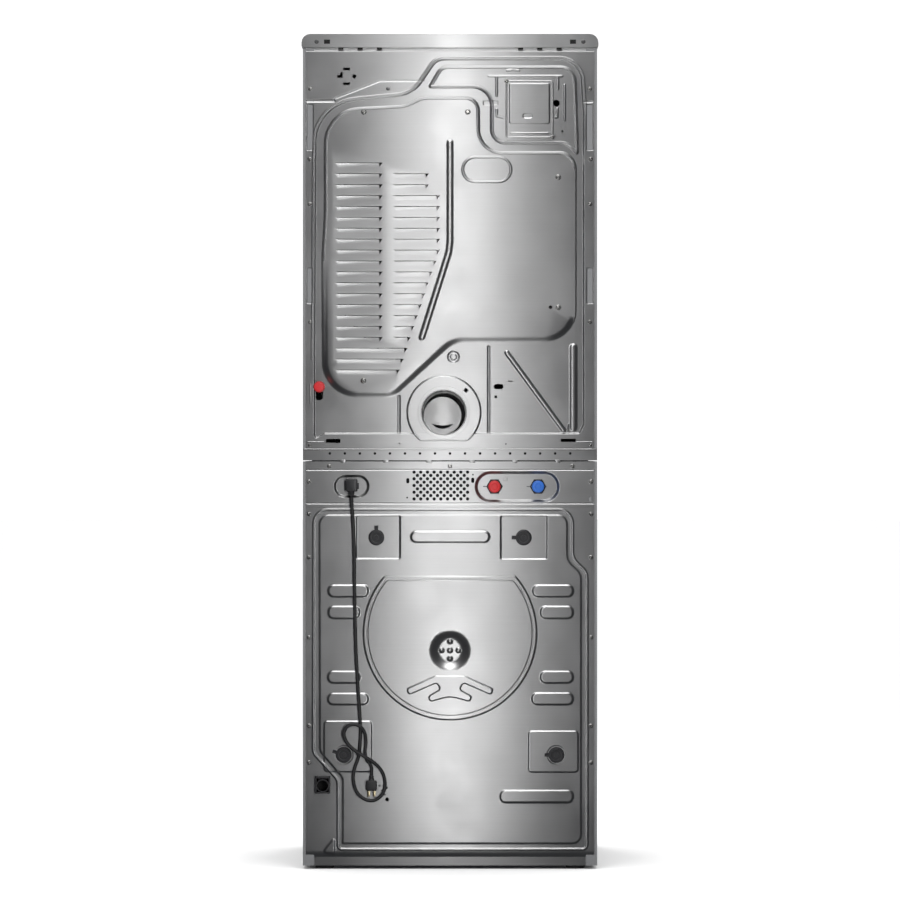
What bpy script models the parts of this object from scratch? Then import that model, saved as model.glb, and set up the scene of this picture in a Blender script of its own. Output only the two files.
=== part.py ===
"""Laundry tower: a gas dryer stacked on a front-loading washer, sharing one console and one power cord.

Metres, +Z up.  The doors and knobs face -Y, the service panels face +Y, and the origin is on the floor
under the middle of the machine.
"""

import math

import bmesh
import bpy
from mathutils import Matrix, Vector

# Cabinet
CABINET_WIDTH = 0.680
OVERALL_DEPTH = 0.800
FRONT_REACH = 0.070         # knobs standing in front of the cabinet
REAR_REACH = 0.015          # exhaust collar standing behind the cabinet
FOOT_GAP = 0.008            # floor to the underside of the washer base
SKIN = 0.0012               # sheet steel
FIT = 0.0003                # gap between pieces that touch
RUNNING = 0.0005            # radial clearance round a shaft or a pin
SLIVER = 0.00003            # points closer than this are merged after a cut

# Washer, from the floor up
WASHER_SUMP = 0.232         # underside of the base to the tub
TUB_RADIUS = 0.265
TUB_WALL = 0.004
TUB_TO_DRUM = 0.020
WASHER_HEADROOM = 0.172     # tub to the top of the washer
CROSSBAR_HEIGHT = 0.106

# Dryer, from the seam up
SEAM = 0.002
BRACKET_HEIGHT = 0.028
DRYER_SUMP = 0.216          # seam to the drum
DRYER_DRUM_RADIUS = 0.300
DRYER_HEADROOM = 0.138      # drum to the top of the dryer's cabinet
LID_HEIGHT = 0.031
LID_OVERHANG = 0.003

# Doors
DOOR_RADIUS = 0.250
DOOR_THICKNESS = 0.052
DOOR_GAP = 0.004            # door to front panel
WASHER_MOUTH_RADIUS = 0.185
DRYER_MOUTH_RADIUS = 0.200
WASHER_GLASS_RADIUS = 0.155
DRYER_GLASS_RADIUS = 0.170
HINGE_SETBACK = 0.012       # door edge to hinge pin
PIN_RADIUS = 0.004
KNUCKLE_HALF = 0.0255

# Console and dispenser
CONSOLE_HEIGHT = 0.135
CONSOLE_DROP = 0.047        # console's lower edge below the washer's top
CONSOLE_REACH = 0.022
KNOB_RADIUS = 0.032
KNOB_SHAFT_RADIUS = 0.004
KNOB_INSET = 0.105          # knob axis from the side of the cabinet
BUTTON_RADIUS = 0.011
BUTTON_INSET = 0.175
DRAWER_WIDTH = 0.200
DRAWER_HEIGHT = 0.095
DRAWER_LENGTH = 0.215
DRAWER_INSET = 0.022        # drawer front from the side of the cabinet

# Shafts, pulleys and the motors
WASHER_SHAFT_RADIUS = 0.0125
WASHER_PULLEY_RADIUS = 0.150
WASHER_MOTOR_X = 0.100
WASHER_MOTOR_HEIGHT = 0.112
WASHER_MOTOR_RADIUS = 0.062
WASHER_MOTOR_PULLEY_RADIUS = 0.018
DRYER_SHAFT_RADIUS = 0.0125
DRYER_MOTOR_X = -0.120
DRYER_MOTOR_HEIGHT = 0.118  # motor axis above the dryer's floor
DRYER_MOTOR_RADIUS = 0.052
DRYER_MOTOR_PULLEY_RADIUS = 0.014
MOTOR_SHAFT_RADIUS = 0.006
BELT_WIDTH = 0.010
BELT_THICKNESS = 0.003

# Pressed forms of the dryer's rear wall
GROOVE_DEPTH = 0.005
PLATEAU_RISE = 0.006        # from the groove's floor
FORM_DRAFT = 0.003

# Services on the rear
DUCT_RADIUS = 0.0508        # bore of a 4 inch duct
DUCT_WALL = 0.0012
DUCT_FLANGE_RADIUS = 0.0617
DUCT_X = 0.014
DUCT_HEIGHT = 0.111         # duct axis above the dryer's floor
GAS_PIPE_RADIUS = 0.0105
GAS_PIPE_BORE = 0.0075
GAS_INSET = 0.038           # gas pipe from the side of the cabinet
GAS_HEIGHT = 0.170
PORT_RADIUS = 0.0125
PORT_BORE = 0.0085
CAP_WALL = 0.0021
PORT_SPACING = 0.1006
COLD_PORT_X = -0.2033
PORT_DROP = 0.0585          # water ports below the washer's top
RECESS_DEPTH = 0.012
CORD_RECESS_DEPTH = 0.008
CORD_X = 0.2268
CORD_RADIUS = 0.004
RELIEF_DROP = 0.057         # strain relief's centre below the washer's top
TRANSIT_CAP_RADIUS = 0.0187
TRANSIT_SHANK_RADIUS = 0.007
TRANSIT_REACH = 0.100
TRANSIT_UPPER = (0.170, 0.261)      # from the tub's axis
TRANSIT_LOWER = (0.2455, -0.241)
PAD_RISE = 0.003
TRANSIT_PADS = [            # each pad's left, right, lower and upper edge from its bolt
    (-0.057, 0.050, -0.052, 0.054), (-0.056, 0.057, -0.052, 0.054),
    (-0.067, 0.049, -0.042, 0.081), (-0.053, 0.068, -0.043, 0.058)]
DRAIN_BORE = 0.013
DRAIN_HALF_WIDTH = 0.0175
DRAIN_HALF_HEIGHT = 0.020
DRAIN_INSET = 0.046         # drain outlet's centre from the side of the cabinet
DRAIN_HEIGHT = 0.187        # and above the base
FOOT_RADIUS = 0.022
FOOT_STEM_RADIUS = 0.005
FOOT_INSET = 0.050

# Places that follow from those sizes
HALF = CABINET_WIDTH / 2
PANEL_HALF = HALF - 0.007
Y_FRONT = -OVERALL_DEPTH / 2 + FRONT_REACH
Y_REAR = OVERALL_DEPTH / 2 - REAR_REACH
Y_FLANGE = Y_REAR - SKIN - FIT
Y_PLATEAU = Y_REAR - GROOVE_DEPTH + PLATEAU_RISE
WASHER_AXIS = FOOT_GAP + WASHER_SUMP + TUB_RADIUS
WASHER_TOP = WASHER_AXIS + TUB_RADIUS + WASHER_HEADROOM
CROSSBAR_BOTTOM = WASHER_TOP - CROSSBAR_HEIGHT
DRYER_FLOOR = WASHER_TOP + SEAM
DRYER_AXIS = DRYER_FLOOR + DRYER_SUMP + DRYER_DRUM_RADIUS
DRYER_TOP = DRYER_AXIS + DRYER_DRUM_RADIUS + DRYER_HEADROOM
LID_TOP = DRYER_TOP + LID_HEIGHT
CONSOLE_BOTTOM = WASHER_TOP - CONSOLE_DROP
CONSOLE_TOP = CONSOLE_BOTTOM + CONSOLE_HEIGHT
CONSOLE_AXIS = (CONSOLE_BOTTOM + CONSOLE_TOP) / 2
CONSOLE_FACE = Y_FRONT - CONSOLE_REACH
DOOR_BACK = Y_FRONT - DOOR_GAP
DOOR_FACE = DOOR_BACK - DOOR_THICKNESS
HINGE_X = -DOOR_RADIUS - HINGE_SETBACK
HINGE_Y = (DOOR_BACK + DOOR_FACE) / 2
DRUM_RADIUS = TUB_RADIUS - TUB_TO_DRUM
TUB_FRONT = Y_FRONT + 0.105
TUB_REAR = Y_REAR - 0.235
WASHER_BELT_Y = TUB_REAR + 0.050
WASHER_MOTOR_Z = FOOT_GAP + WASHER_MOTOR_HEIGHT
BULKHEAD_Y = Y_FRONT + 0.056
DRYER_DRUM_FRONT = BULKHEAD_Y + 0.006
DRYER_DRUM_REAR = Y_REAR - 0.085
DRYER_MOTOR_Z = DRYER_FLOOR + DRYER_MOTOR_HEIGHT
BLOWER_FRONT = BULKHEAD_Y + FIT
BLOWER_REAR = BLOWER_FRONT + 0.085
DRYER_BELT_Y = BLOWER_REAR + 0.215
DUCT_Z = DRYER_FLOOR + DUCT_HEIGHT
GAS_X = HALF - GAS_INSET
GAS_Z = DRYER_FLOOR + GAS_HEIGHT
PORT_Z = WASHER_TOP - PORT_DROP
RELIEF_Z = WASHER_TOP - RELIEF_DROP
DRAIN_X = HALF - DRAIN_INSET
DRAIN_Z = FOOT_GAP + DRAIN_HEIGHT
DRAWER_LEFT = -HALF + DRAWER_INSET
DRAWER_RIGHT = DRAWER_LEFT + DRAWER_WIDTH
DRAWER_TOP = CONSOLE_BOTTOM - 0.010
DRAWER_BOTTOM = DRAWER_TOP - DRAWER_HEIGHT


# ---------------------------------------------------------------------------------------------- helpers

def clear_scene():
    for old in list(bpy.data.objects):
        bpy.data.objects.remove(old, do_unlink=True)


def paint(name, colour, roughness, metallic=0.0, alpha=1.0):
    """Principled material of one finish."""
    material = bpy.data.materials.new(name)
    material.use_nodes = True
    shader = material.node_tree.nodes["Principled BSDF"]
    shader.inputs["Base Color"].default_value = (*colour, 1.0)
    shader.inputs["Roughness"].default_value = roughness
    shader.inputs["Metallic"].default_value = metallic
    shader.inputs["Alpha"].default_value = alpha
    material.diffuse_color = (*colour, alpha)
    return material


def finish(name, bm, material, origin=(0.0, 0.0, 0.0)):
    """Turn a bmesh into the named piece, with its origin at the given point."""
    bmesh.ops.remove_doubles(bm, verts=bm.verts, dist=1e-6)
    bmesh.ops.recalc_face_normals(bm, faces=bm.faces)
    mesh = bpy.data.meshes.new(name)
    bm.to_mesh(mesh)
    bm.free()
    mesh.transform(Matrix.Translation(-Vector(origin)))
    mesh.materials.append(material)
    piece = bpy.data.objects.new(name, mesh)
    piece.location = origin
    bpy.context.collection.objects.link(piece)
    return piece


def smooth(piece, angle=35):
    """Smooth shading with the edges sharper than the angle kept crisp."""
    piece.data.shade_smooth()
    piece.data.set_sharp_from_angle(angle=math.radians(angle))
    return piece


def combine(piece, tools, operation):
    """Boolean the tool objects into the piece, keep its mesh and drop the tools."""
    material = piece.data.materials[0]
    for tool in tools:
        change = piece.modifiers.new(operation.lower(), "BOOLEAN")
        change.operation = operation
        change.solver = "EXACT"
        change.object = tool
    bpy.context.view_layer.update()
    evaluated = piece.evaluated_get(bpy.context.evaluated_depsgraph_get())
    mesh = bpy.data.meshes.new_from_object(evaluated)
    piece.modifiers.clear()
    mesh.materials.clear()
    mesh.materials.append(material)
    mesh.name = piece.name
    clean = bmesh.new()
    clean.from_mesh(mesh)
    bmesh.ops.remove_doubles(clean, verts=clean.verts, dist=SLIVER)
    clean.to_mesh(mesh)
    clean.free()
    piece.data = mesh
    for tool in tools:
        bpy.data.objects.remove(tool, do_unlink=True)
    return smooth(piece)


def join(piece, *tools):
    return combine(piece, tools, "UNION")


def carve(piece, *tools):
    return combine(piece, tools, "DIFFERENCE")


def circle(x, z, radius, count=16):
    """Round outline in the XZ plane."""
    turn = 2 * math.pi / count
    return [(x + radius * math.cos(turn * i), z + radius * math.sin(turn * i)) for i in range(count)]


def round_hole(x, z, radius, count=16):
    """Outline of a round hole, its flats standing at the radius so that a shaft of that size passes."""
    return circle(x, z, radius / math.cos(math.pi / count), count)


def rectangle(x0, x1, z0, z1):
    return [(x0, z0), (x1, z0), (x1, z1), (x0, z1)]


def rounded(corners, steps=4):
    """Outline through (x, z, radius) corners, each turned by an arc of its radius."""
    outline = []
    for i, (x, z, radius) in enumerate(corners):
        here = Vector((x, z))
        before = (Vector(corners[i - 1][:2]) - here).normalized()
        after = (Vector(corners[(i + 1) % len(corners)][:2]) - here).normalized()
        half_angle = before.angle(after) / 2
        centre = here + (before + after).normalized() * (radius / math.sin(half_angle))
        start = here + before * (radius / math.tan(half_angle)) - centre
        end = here + after * (radius / math.tan(half_angle)) - centre
        first = math.atan2(start.y, start.x)
        sweep = (math.atan2(end.y, end.x) - first + math.pi) % (2 * math.pi) - math.pi
        for step in range(steps + 1):
            angle = first + sweep * step / steps
            outline.append((centre.x + radius * math.cos(angle), centre.y + radius * math.sin(angle)))
    return outline


def rounded_rectangle(x0, x1, z0, z1, radius, steps=4):
    return rounded([(x0, z0, radius), (x1, z0, radius), (x1, z1, radius), (x0, z1, radius)], steps)


def inset(outline, distance):
    """The outline moved inwards by a distance, with mitred corners."""
    area = sum(a[0] * b[1] - b[0] * a[1] for a, b in zip(outline, outline[1:] + outline[:1]))
    side = 1 if area > 0 else -1
    moved = []
    for i, point in enumerate(outline):
        here = Vector(point)
        arriving = (here - Vector(outline[i - 1])).normalized()
        leaving = (Vector(outline[(i + 1) % len(outline)]) - here).normalized()
        along = (arriving + leaving).normalized()
        inward = Vector((-along.y, along.x)) * side
        moved.append(tuple(here + inward * (distance / max(along.dot(leaving), 0.5))))
    return moved


def strip(path, thickness):
    """Closed outline of a bent strip whose outer face follows the path, material on its left."""
    inner = []
    for i, point in enumerate(path):
        here = Vector(point)
        arriving = (here - Vector(path[max(i - 1, 0)])).normalized() if i else None
        leaving = (Vector(path[i + 1]) - here).normalized() if i < len(path) - 1 else None
        along = ((arriving or leaving) + (leaving or arriving)).normalized()
        left = Vector((-along.y, along.x))
        inner.append(tuple(here + left * (thickness / along.dot(leaving or arriving))))
    return path + inner[::-1]


def around_belt(circles, reach, count=32):
    """Outline of a tight loop round (x, z, radius) circles, standing off by the reach."""
    points = [p for x, z, radius in circles for p in round_hole(x, z, radius + reach, count)]
    points = sorted(set(points))
    hull = []
    for ordered in (points, points[::-1]):
        chain = []
        for p in ordered:
            while len(chain) > 1 and _turn(chain[-2], chain[-1], p) <= 0:
                chain.pop()
            chain.append(p)
        hull += chain[:-1]
    return hull


def _turn(a, b, c):
    return (b[0] - a[0]) * (c[1] - a[1]) - (b[1] - a[1]) * (c[0] - a[0])


def add_loop(bm, outline, place):
    """Vertices and edges of one closed outline."""
    verts = [bm.verts.new(place(u, v)) for u, v in outline]
    edges = [bm.edges.new((a, b)) for a, b in zip(verts, verts[1:] + verts[:1])]
    return verts, edges


def prism(name, material, outline, holes, near, far, plane="XZ", origin=(0.0, 0.0, 0.0)):
    """Flat outline with holes, extruded from near to far across its plane."""
    to_world = {
        "XZ": lambda u, v, w: (u, w, v),
        "XY": lambda u, v, w: (u, v, w),
        "YZ": lambda u, v, w: (w, u, v),
    }[plane]
    bm = bmesh.new()
    edges = []
    for loop in [outline] + list(holes):
        edges += add_loop(bm, loop, lambda u, v: to_world(u, v, near))[1]
    bmesh.ops.triangle_fill(bm, use_beauty=True, use_dissolve=False, edges=edges)
    raised = bmesh.ops.extrude_face_region(bm, geom=bm.faces[:])
    shift = Vector(to_world(0, 0, far)) - Vector(to_world(0, 0, near))
    bmesh.ops.translate(bm, verts=[v for v in raised["geom"] if isinstance(v, bmesh.types.BMVert)], vec=shift)
    return finish(name, bm, material, origin)


def block(name, material, x0, x1, y0, y1, z0, z1, origin=(0.0, 0.0, 0.0)):
    return prism(name, material, rectangle(x0, x1, z0, z1), [], y0, y1, origin=origin)


def turned(name, material, profile, x, z, steps=20, origin=(0.0, 0.0, 0.0)):
    """Solid of a (radius, y) profile turned about the line through x, z along Y.

    A profile that starts and ends on the axis is left open there, and any other is closed.
    """
    bm = bmesh.new()
    verts = [bm.verts.new((radius, y, 0.0)) for radius, y in profile]
    edges = [bm.edges.new(pair) for pair in zip(verts, verts[1:])]
    if profile[0][0] > 0 or profile[-1][0] > 0:
        edges.append(bm.edges.new((verts[-1], verts[0])))
    bmesh.ops.spin(bm, geom=verts + edges, cent=(0, 0, 0), axis=(0, 1, 0), angle=2 * math.pi, steps=steps)
    bmesh.ops.remove_doubles(bm, verts=bm.verts, dist=1e-6)
    bmesh.ops.translate(bm, verts=bm.verts, vec=(x, 0, z))
    return smooth(finish(name, bm, material, origin))


def rod(name, material, radius, y0, y1, x, z, steps=16):
    return turned(name, material, [(0, y0), (radius, y0), (radius, y1), (0, y1)], x, z, steps)


def tube(name, material, outer, inner, y0, y1, x, z, steps=20):
    return turned(name, material, [(outer, y0), (outer, y1), (inner, y1), (inner, y0)], x, z, steps)


def upright(name, material, radius, z0, z1, x, y, steps=12):
    """Solid rod along Z."""
    return prism(name, material, circle(x, y, radius, steps), [], z0, z1, plane="XY")


def press(bm, edges, level, features, facing):
    """Fill one flat region of a pressed sheet and everything pressed into or cut out of it.

    A feature is ("hole", outline) or ("form", outline, draft, rise, features): a wall slopes over the
    draft to a floor that stands higher by the rise.
    """
    edges = list(edges)
    for kind, outline, *rest in features:
        rim, rim_edges = add_loop(bm, outline, lambda u, v: (u, level * facing, v))
        edges += rim_edges
        if kind == "form":
            draft, rise, inner_features = rest
            floor, floor_edges = add_loop(bm, inset(outline, draft),
                                          lambda u, v: (u, (level + rise) * facing, v))
            for i in range(len(rim)):
                j = (i + 1) % len(rim)
                bm.faces.new((rim[i], rim[j], floor[j], floor[i]))
            press(bm, floor_edges, level + rise, inner_features, facing)
    bmesh.ops.triangle_fill(bm, use_beauty=True, use_dissolve=False, edges=edges)


def pressed(name, material, outline, features, y, facing=1):
    """Sheet of the cabinet's thickness with its outer face at y, facing +Y (1) or -Y (-1)."""
    bm = bmesh.new()
    edges = add_loop(bm, outline, lambda u, v: (u, 0.0, v))[1]
    press(bm, edges, 0.0, features, facing)
    bmesh.ops.recalc_face_normals(bm, faces=bm.faces)
    if sum(face.normal.y * face.calc_area() for face in bm.faces) * facing < 0:
        bmesh.ops.reverse_faces(bm, faces=bm.faces)
    mesh = bpy.data.meshes.new(name)
    bm.to_mesh(mesh)
    bm.free()
    mesh.transform(Matrix.Translation((0, y, 0)))
    mesh.materials.append(material)
    piece = bpy.data.objects.new(name, mesh)
    bpy.context.collection.objects.link(piece)
    sheet = piece.modifiers.new("sheet", "SOLIDIFY")
    sheet.thickness = SKIN
    sheet.offset = -1
    sheet.use_even_offset = True
    return piece


# ----------------------------------------------------------------------------------------- cabinet

def side_panel(name, material, side, z0, z1):
    """Folded side: a wall with a return flange at the front and the rear."""
    path = [(side * (HALF - 0.026), Y_FLANGE), (side * HALF, Y_FLANGE),
            (side * HALF, Y_FRONT + SKIN + FIT), (side * (HALF - 0.022), Y_FRONT + SKIN + FIT)]
    if side > 0:
        outline = strip(path[::-1], SKIN)
    else:
        outline = strip(path, SKIN)
    return prism(name, material, outline, [], z0, z1, plane="XY")


def tray(name, material, z0, z1, holes):
    """Base pan with an upturned rim, between the side flanges."""
    reach = HALF - SKIN - FIT
    front = Y_FRONT + 2 * (SKIN + FIT) + FIT
    rear = Y_FLANGE - SKIN - FIT
    pan = block(name, material, -reach, reach, front, rear, z0, z1)
    hollow = block("hollow", material, -reach + 2 * SKIN, reach - 2 * SKIN, front + 2 * SKIN, rear - 2 * SKIN,
                   z0 + 2 * SKIN, z1 + 0.01)
    drills = [upright("drill", material, radius, z0 - 0.01, z0 + 0.01, x, y) for x, y, radius in holes]
    return carve(pan, hollow, *drills)


def foot_places():
    x = HALF - FOOT_INSET
    front, rear = Y_FRONT + FOOT_INSET, Y_REAR - FOOT_INSET
    return [(-x, front), (x, front), (-x, rear), (x, rear)]


def foot(name, material, x, y):
    """Levelling foot: a rubber-soled pad on a stem that screws up into the base."""
    pad_top = FOOT_GAP - 0.0015
    pad = prism(name, material, circle(x, y, FOOT_RADIUS), [], 0.0, pad_top, plane="XY", origin=(x, y, 0))
    stem = upright("stem", material, FOOT_STEM_RADIUS, pad_top - 0.002, FOOT_GAP + 0.034, x, y)
    return join(pad, stem)


def front_panel(name, material, z0, z1, axis_z, mouth, openings):
    """Front sheet with a dished ring round the door mouth."""
    dish = ("form", circle(0, axis_z, mouth + 0.026, 32), 0.008, -0.004,
            [("hole", circle(0, axis_z, mouth, 32))])
    outline = rectangle(-HALF + 0.002, HALF - 0.002, z0, z1)
    return pressed(name, material, outline, [dish] + openings, Y_FRONT, facing=-1)


def lid(name, material):
    """Top panel: a pan turned upside down over the dryer's cabinet."""
    reach = HALF + LID_OVERHANG
    corner = 0.020
    end = rounded([(-reach, DRYER_TOP, 0.004), (reach, DRYER_TOP, 0.004),
                   (reach, LID_TOP, corner), (-reach, LID_TOP, corner)])
    shell = prism(name, material, end, [], Y_FRONT - LID_OVERHANG, Y_REAR + LID_OVERHANG)
    wall = 2 * SKIN
    front, rear = Y_FRONT - LID_OVERHANG + wall, Y_REAR + LID_OVERHANG - wall
    hollow = prism("hollow", material, inset(end, wall), [], front, rear)
    opening = block("opening", material, -reach + wall + FIT, reach - wall - FIT, front + FIT, rear - FIT,
                    DRYER_TOP - 0.01, DRYER_TOP + 0.006)
    return carve(shell, hollow, opening)


def main_plateau():
    """Outline of the raised wall that closes the dryer's hot air duct, corners with their radii."""
    side = PANEL_HALF - 0.038
    high = DRYER_TOP
    low = DRYER_FLOOR
    return [(side, high - 0.130, 0.068), (0.100, high - 0.127, 0.030), (0.062, high - 0.111, 0.030),
            (-0.071, high - 0.111, 0.034), (-0.071, high - 0.240, 0.045), (-side, high - 0.240, 0.040),
            (-side, low + 0.292, 0.070), (0.006, low + 0.292, 0.060), (0.144, low + 0.161, 0.050),
            (side, low + 0.161, 0.085)]


def terminal_plateau():
    """Outline of the raised field above it that carries the wiring cover."""
    side = PANEL_HALF - 0.038
    high = DRYER_TOP
    return [(0.005, high - 0.041, 0.020), (-side, high - 0.041, 0.035), (-side, high - 0.226, 0.012),
            (-0.092, high - 0.226, 0.030), (-0.090, high - 0.096, 0.038), (0.050, high - 0.096, 0.012)]


def channel_outline():
    """Outer edge of the groove round both plateaus."""
    side = PANEL_HALF - 0.020
    high = DRYER_TOP
    low = DRYER_FLOOR
    return [(side, high - 0.117, 0.085), (0.105, high - 0.111, 0.030), (0.062, high - 0.085, 0.030),
            (0.025, high - 0.026, 0.030), (-side, high - 0.026, 0.045), (-side, low + 0.274, 0.085),
            (-0.010, low + 0.274, 0.055), (0.135, low + 0.142, 0.055), (side, low + 0.142, 0.100)]


def dryer_rear(name, material):
    """Pressed rear wall of the dryer, with the drum's bearing cup welded inside."""
    plateau = ("form", rounded(main_plateau()), FORM_DRAFT, PLATEAU_RISE, [])
    upper = ("form", rounded(terminal_plateau()), FORM_DRAFT, PLATEAU_RISE, [])
    groove = ("form", rounded(channel_outline()), FORM_DRAFT, -GROOVE_DEPTH, [plateau, upper])
    duct_hole = ("hole", round_hole(DUCT_X, DUCT_Z, DUCT_RADIUS + DUCT_WALL + RUNNING, 24))
    gas_hole = ("hole", round_hole(GAS_X, GAS_Z, GAS_PIPE_RADIUS + RUNNING, 12))
    outline = rectangle(-PANEL_HALF, PANEL_HALF, DRYER_FLOOR + BRACKET_HEIGHT + FIT, DRYER_TOP - FIT)
    wall = pressed(name, material, outline, [groove, duct_hole, gas_hole], Y_REAR)
    cup_front = DRYER_DRUM_REAR + 0.030
    bore = DRYER_SHAFT_RADIUS + RUNNING
    weld = Y_PLATEAU - SKIN / 2
    cup = turned("cup", material,
                 [(bore, cup_front), (0.030, cup_front), (0.030, weld), (0.020, weld), (bore, weld - 0.010)],
                 0, DRYER_AXIS, 16)
    return join(wall, cup)


def washer_rear(name, material):
    """Pressed rear wall of the washer: four pads for the transit bolts, the big disc and its dome."""
    pads = []
    for (x, z), (left, right, below, above) in zip(transit_places(), TRANSIT_PADS):
        hole = ("hole", round_hole(x, z, TRANSIT_SHANK_RADIUS + RUNNING, 10))
        frame = rounded_rectangle(x + left, x + right, z + below, z + above, 0.010, 3)
        pads.append(("form", frame, 0.003, PAD_RISE, [hole]))
    dome = ("form", circle(0, WASHER_AXIS, 0.049, 16), 0.018, 0.008, [])
    disc = ("form", circle(0, WASHER_AXIS + 0.040, 0.202, 32), 0.006, -0.004, [dome])
    drain = ("hole", rectangle(DRAIN_X - DRAIN_HALF_WIDTH - FIT, DRAIN_X + DRAIN_HALF_WIDTH + FIT,
                               DRAIN_Z - DRAIN_HALF_HEIGHT - FIT, DRAIN_Z + DRAIN_HALF_HEIGHT + FIT))
    outline = rectangle(-PANEL_HALF, PANEL_HALF, FOOT_GAP + 0.002, CROSSBAR_BOTTOM - FIT)
    return pressed(name, material, outline, pads + [disc, drain], Y_REAR)


def rear_crossbar(name, material):
    """Rail over the washer's rear wall, with recesses for the cord and the water valves."""
    centre = COLD_PORT_X + PORT_SPACING / 2
    ports = [("hole", round_hole(x, PORT_Z, PORT_RADIUS + RUNNING, 16))
             for x in (COLD_PORT_X, COLD_PORT_X + PORT_SPACING)]
    water_rim = rounded_rectangle(centre - 0.098, centre + 0.098, PORT_Z - 0.037, PORT_Z + 0.037, 0.036)
    cord_rim = rounded_rectangle(CORD_X - 0.0435, CORD_X + 0.0435, RELIEF_Z - 0.028, RELIEF_Z + 0.028, 0.027)
    water = ("form", water_rim, 0.011, -RECESS_DEPTH, ports)
    cord = ("form", cord_rim, 0.006, -CORD_RECESS_DEPTH, [])
    outline = rectangle(-PANEL_HALF, PANEL_HALF, CROSSBAR_BOTTOM, WASHER_TOP - FIT)
    return pressed(name, material, outline, [water, cord], Y_REAR)


def stack_bracket(name, material, count=17, pitch=0.0347):
    """Strap that ties the dryer to the washer, with its row of holes."""
    z = DRYER_FLOOR + 0.016
    holes = [circle((i - (count - 1) / 2) * pitch, z, 0.003, 6) for i in range(count)]
    outline = rectangle(-HALF + 0.0015, HALF - 0.0015, DRYER_FLOOR, DRYER_FLOOR + BRACKET_HEIGHT)
    return prism(name, material, outline, holes, Y_REAR - SKIN, Y_REAR)


def terminal_cover(name, material):
    """Cover plate over the wiring terminals, on the upper plateau."""
    high = DRYER_TOP
    plate = rounded_rectangle(-0.243, -0.124, high - 0.214, high - 0.072, 0.006, 2)
    raised = rounded_rectangle(-0.231, -0.136, high - 0.202, high - 0.084, 0.008, 2)
    return pressed(name, material, plate, [("form", raised, 0.003, 0.003, [])],
                   Y_PLATEAU + 3 * FIT + SKIN)


# ----------------------------------------------------------------------------------------- dryer inside

def drum_bulkhead(name, material):
    """Front wall behind the dryer's door: a mouth collar for the drum and the lint screen's duct."""
    low = DRYER_FLOOR + 0.036
    mouth = DRYER_MOUTH_RADIUS + 0.005
    half_slot = 0.103
    plate_front = BULKHEAD_Y - SKIN
    wall = block(name, material, -HALF + 0.012, HALF - 0.012, plate_front, BULKHEAD_Y, low,
                 DRYER_AXIS + mouth + 0.120)
    collar = rod("collar", material, mouth + 0.002, Y_FRONT + 0.007, BULKHEAD_Y + 0.020, 0, DRYER_AXIS, 32)
    chord = DRYER_AXIS - math.sqrt(mouth ** 2 - half_slot ** 2) + 0.006
    duct = block("duct", material, DRYER_MOTOR_X - 0.060, half_slot + 0.007, BULKHEAD_Y - 0.034,
                 BULKHEAD_Y - 0.0005, low, chord)
    opening = rod("opening", material, mouth, Y_FRONT, BULKHEAD_Y + 0.03, 0, DRYER_AXIS, 36)
    slot = block("slot", material, -half_slot, half_slot, BULKHEAD_Y - 0.030, BULKHEAD_Y - 0.008,
                 low + 0.004, DRYER_AXIS)
    plenum = block("plenum", material, DRYER_MOTOR_X - 0.056, half_slot - 0.004, BULKHEAD_Y - 0.0302,
                   BULKHEAD_Y - 0.004, low + 0.0035, DRYER_MOTOR_Z + 0.056)
    inlet = rod("inlet", material, 0.046, BULKHEAD_Y - 0.012, BULKHEAD_Y + 0.01, DRYER_MOTOR_X, DRYER_MOTOR_Z)
    return carve(join(wall, collar, duct), opening, slot, plenum, inlet)


def lint_screen(name, material):
    """Lint screen: a flat frame with a grip along its top that lifts out through the drum's mouth."""
    y = BULKHEAD_Y - 0.022
    top = DRYER_AXIS - DRYER_MOUTH_RADIUS - 0.006
    bottom = DRYER_MOTOR_Z + 0.060
    window = rectangle(-0.088, 0.088, bottom + 0.010, top - 0.016)
    frame = prism(name, material, rectangle(-0.098, 0.098, bottom, top), [window], y, y + 0.006,
                  origin=(0, y, bottom))
    mesh_sheet = block("mesh_sheet", material, -0.092, 0.092, y + 0.002, y + 0.004, bottom + 0.006,
                       top - 0.010)
    grip = block("grip", material, -0.060, 0.060, y - 0.004, y + 0.010, top - 0.006, top + 0.004)
    return join(frame, mesh_sheet, grip)


def scroll_outline():
    """The blower's round chamber running into its square outlet over the duct."""
    radius = 0.078
    x, z = DRYER_MOTOR_X, DRYER_MOTOR_Z
    half = DUCT_RADIUS + 0.008
    low, high = DUCT_Z - half, DUCT_Z + half
    first = math.asin((high - z) / radius)
    last = 2 * math.pi + math.asin((low - z) / radius)
    angles = [first + (last - first) * i / 24 for i in range(25)]
    chamber = [(x + radius * math.cos(a), z + radius * math.sin(a)) for a in angles]
    return chamber + [(DUCT_X + half, low), (DUCT_X + half, high)]


def blower_housing(name, material):
    """Scroll round the blower wheel, with its outlet to the exhaust duct."""
    wall = 0.003
    x0, z0 = DRYER_MOTOR_X, DRYER_MOTOR_Z
    shell = prism(name, material, scroll_outline(), [], BLOWER_FRONT, BLOWER_REAR)
    chamber = prism("chamber", material, inset(scroll_outline(), wall), [], BLOWER_FRONT + wall,
                    BLOWER_REAR - wall)
    inlet = rod("inlet", material, 0.046, BLOWER_FRONT - 0.01, BLOWER_FRONT + 0.01, x0, z0)
    shaft_hole = rod("shaft_hole", material, MOTOR_SHAFT_RADIUS + 0.002, BLOWER_REAR - 0.01,
                     BLOWER_REAR + 0.01, x0, z0)
    duct_hole = rod("duct_hole", material, DUCT_RADIUS, BLOWER_REAR - 0.01, BLOWER_REAR + 0.01,
                    DUCT_X, DUCT_Z, 24)
    return carve(shell, chamber, inlet, shaft_hole, duct_hole)


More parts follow.
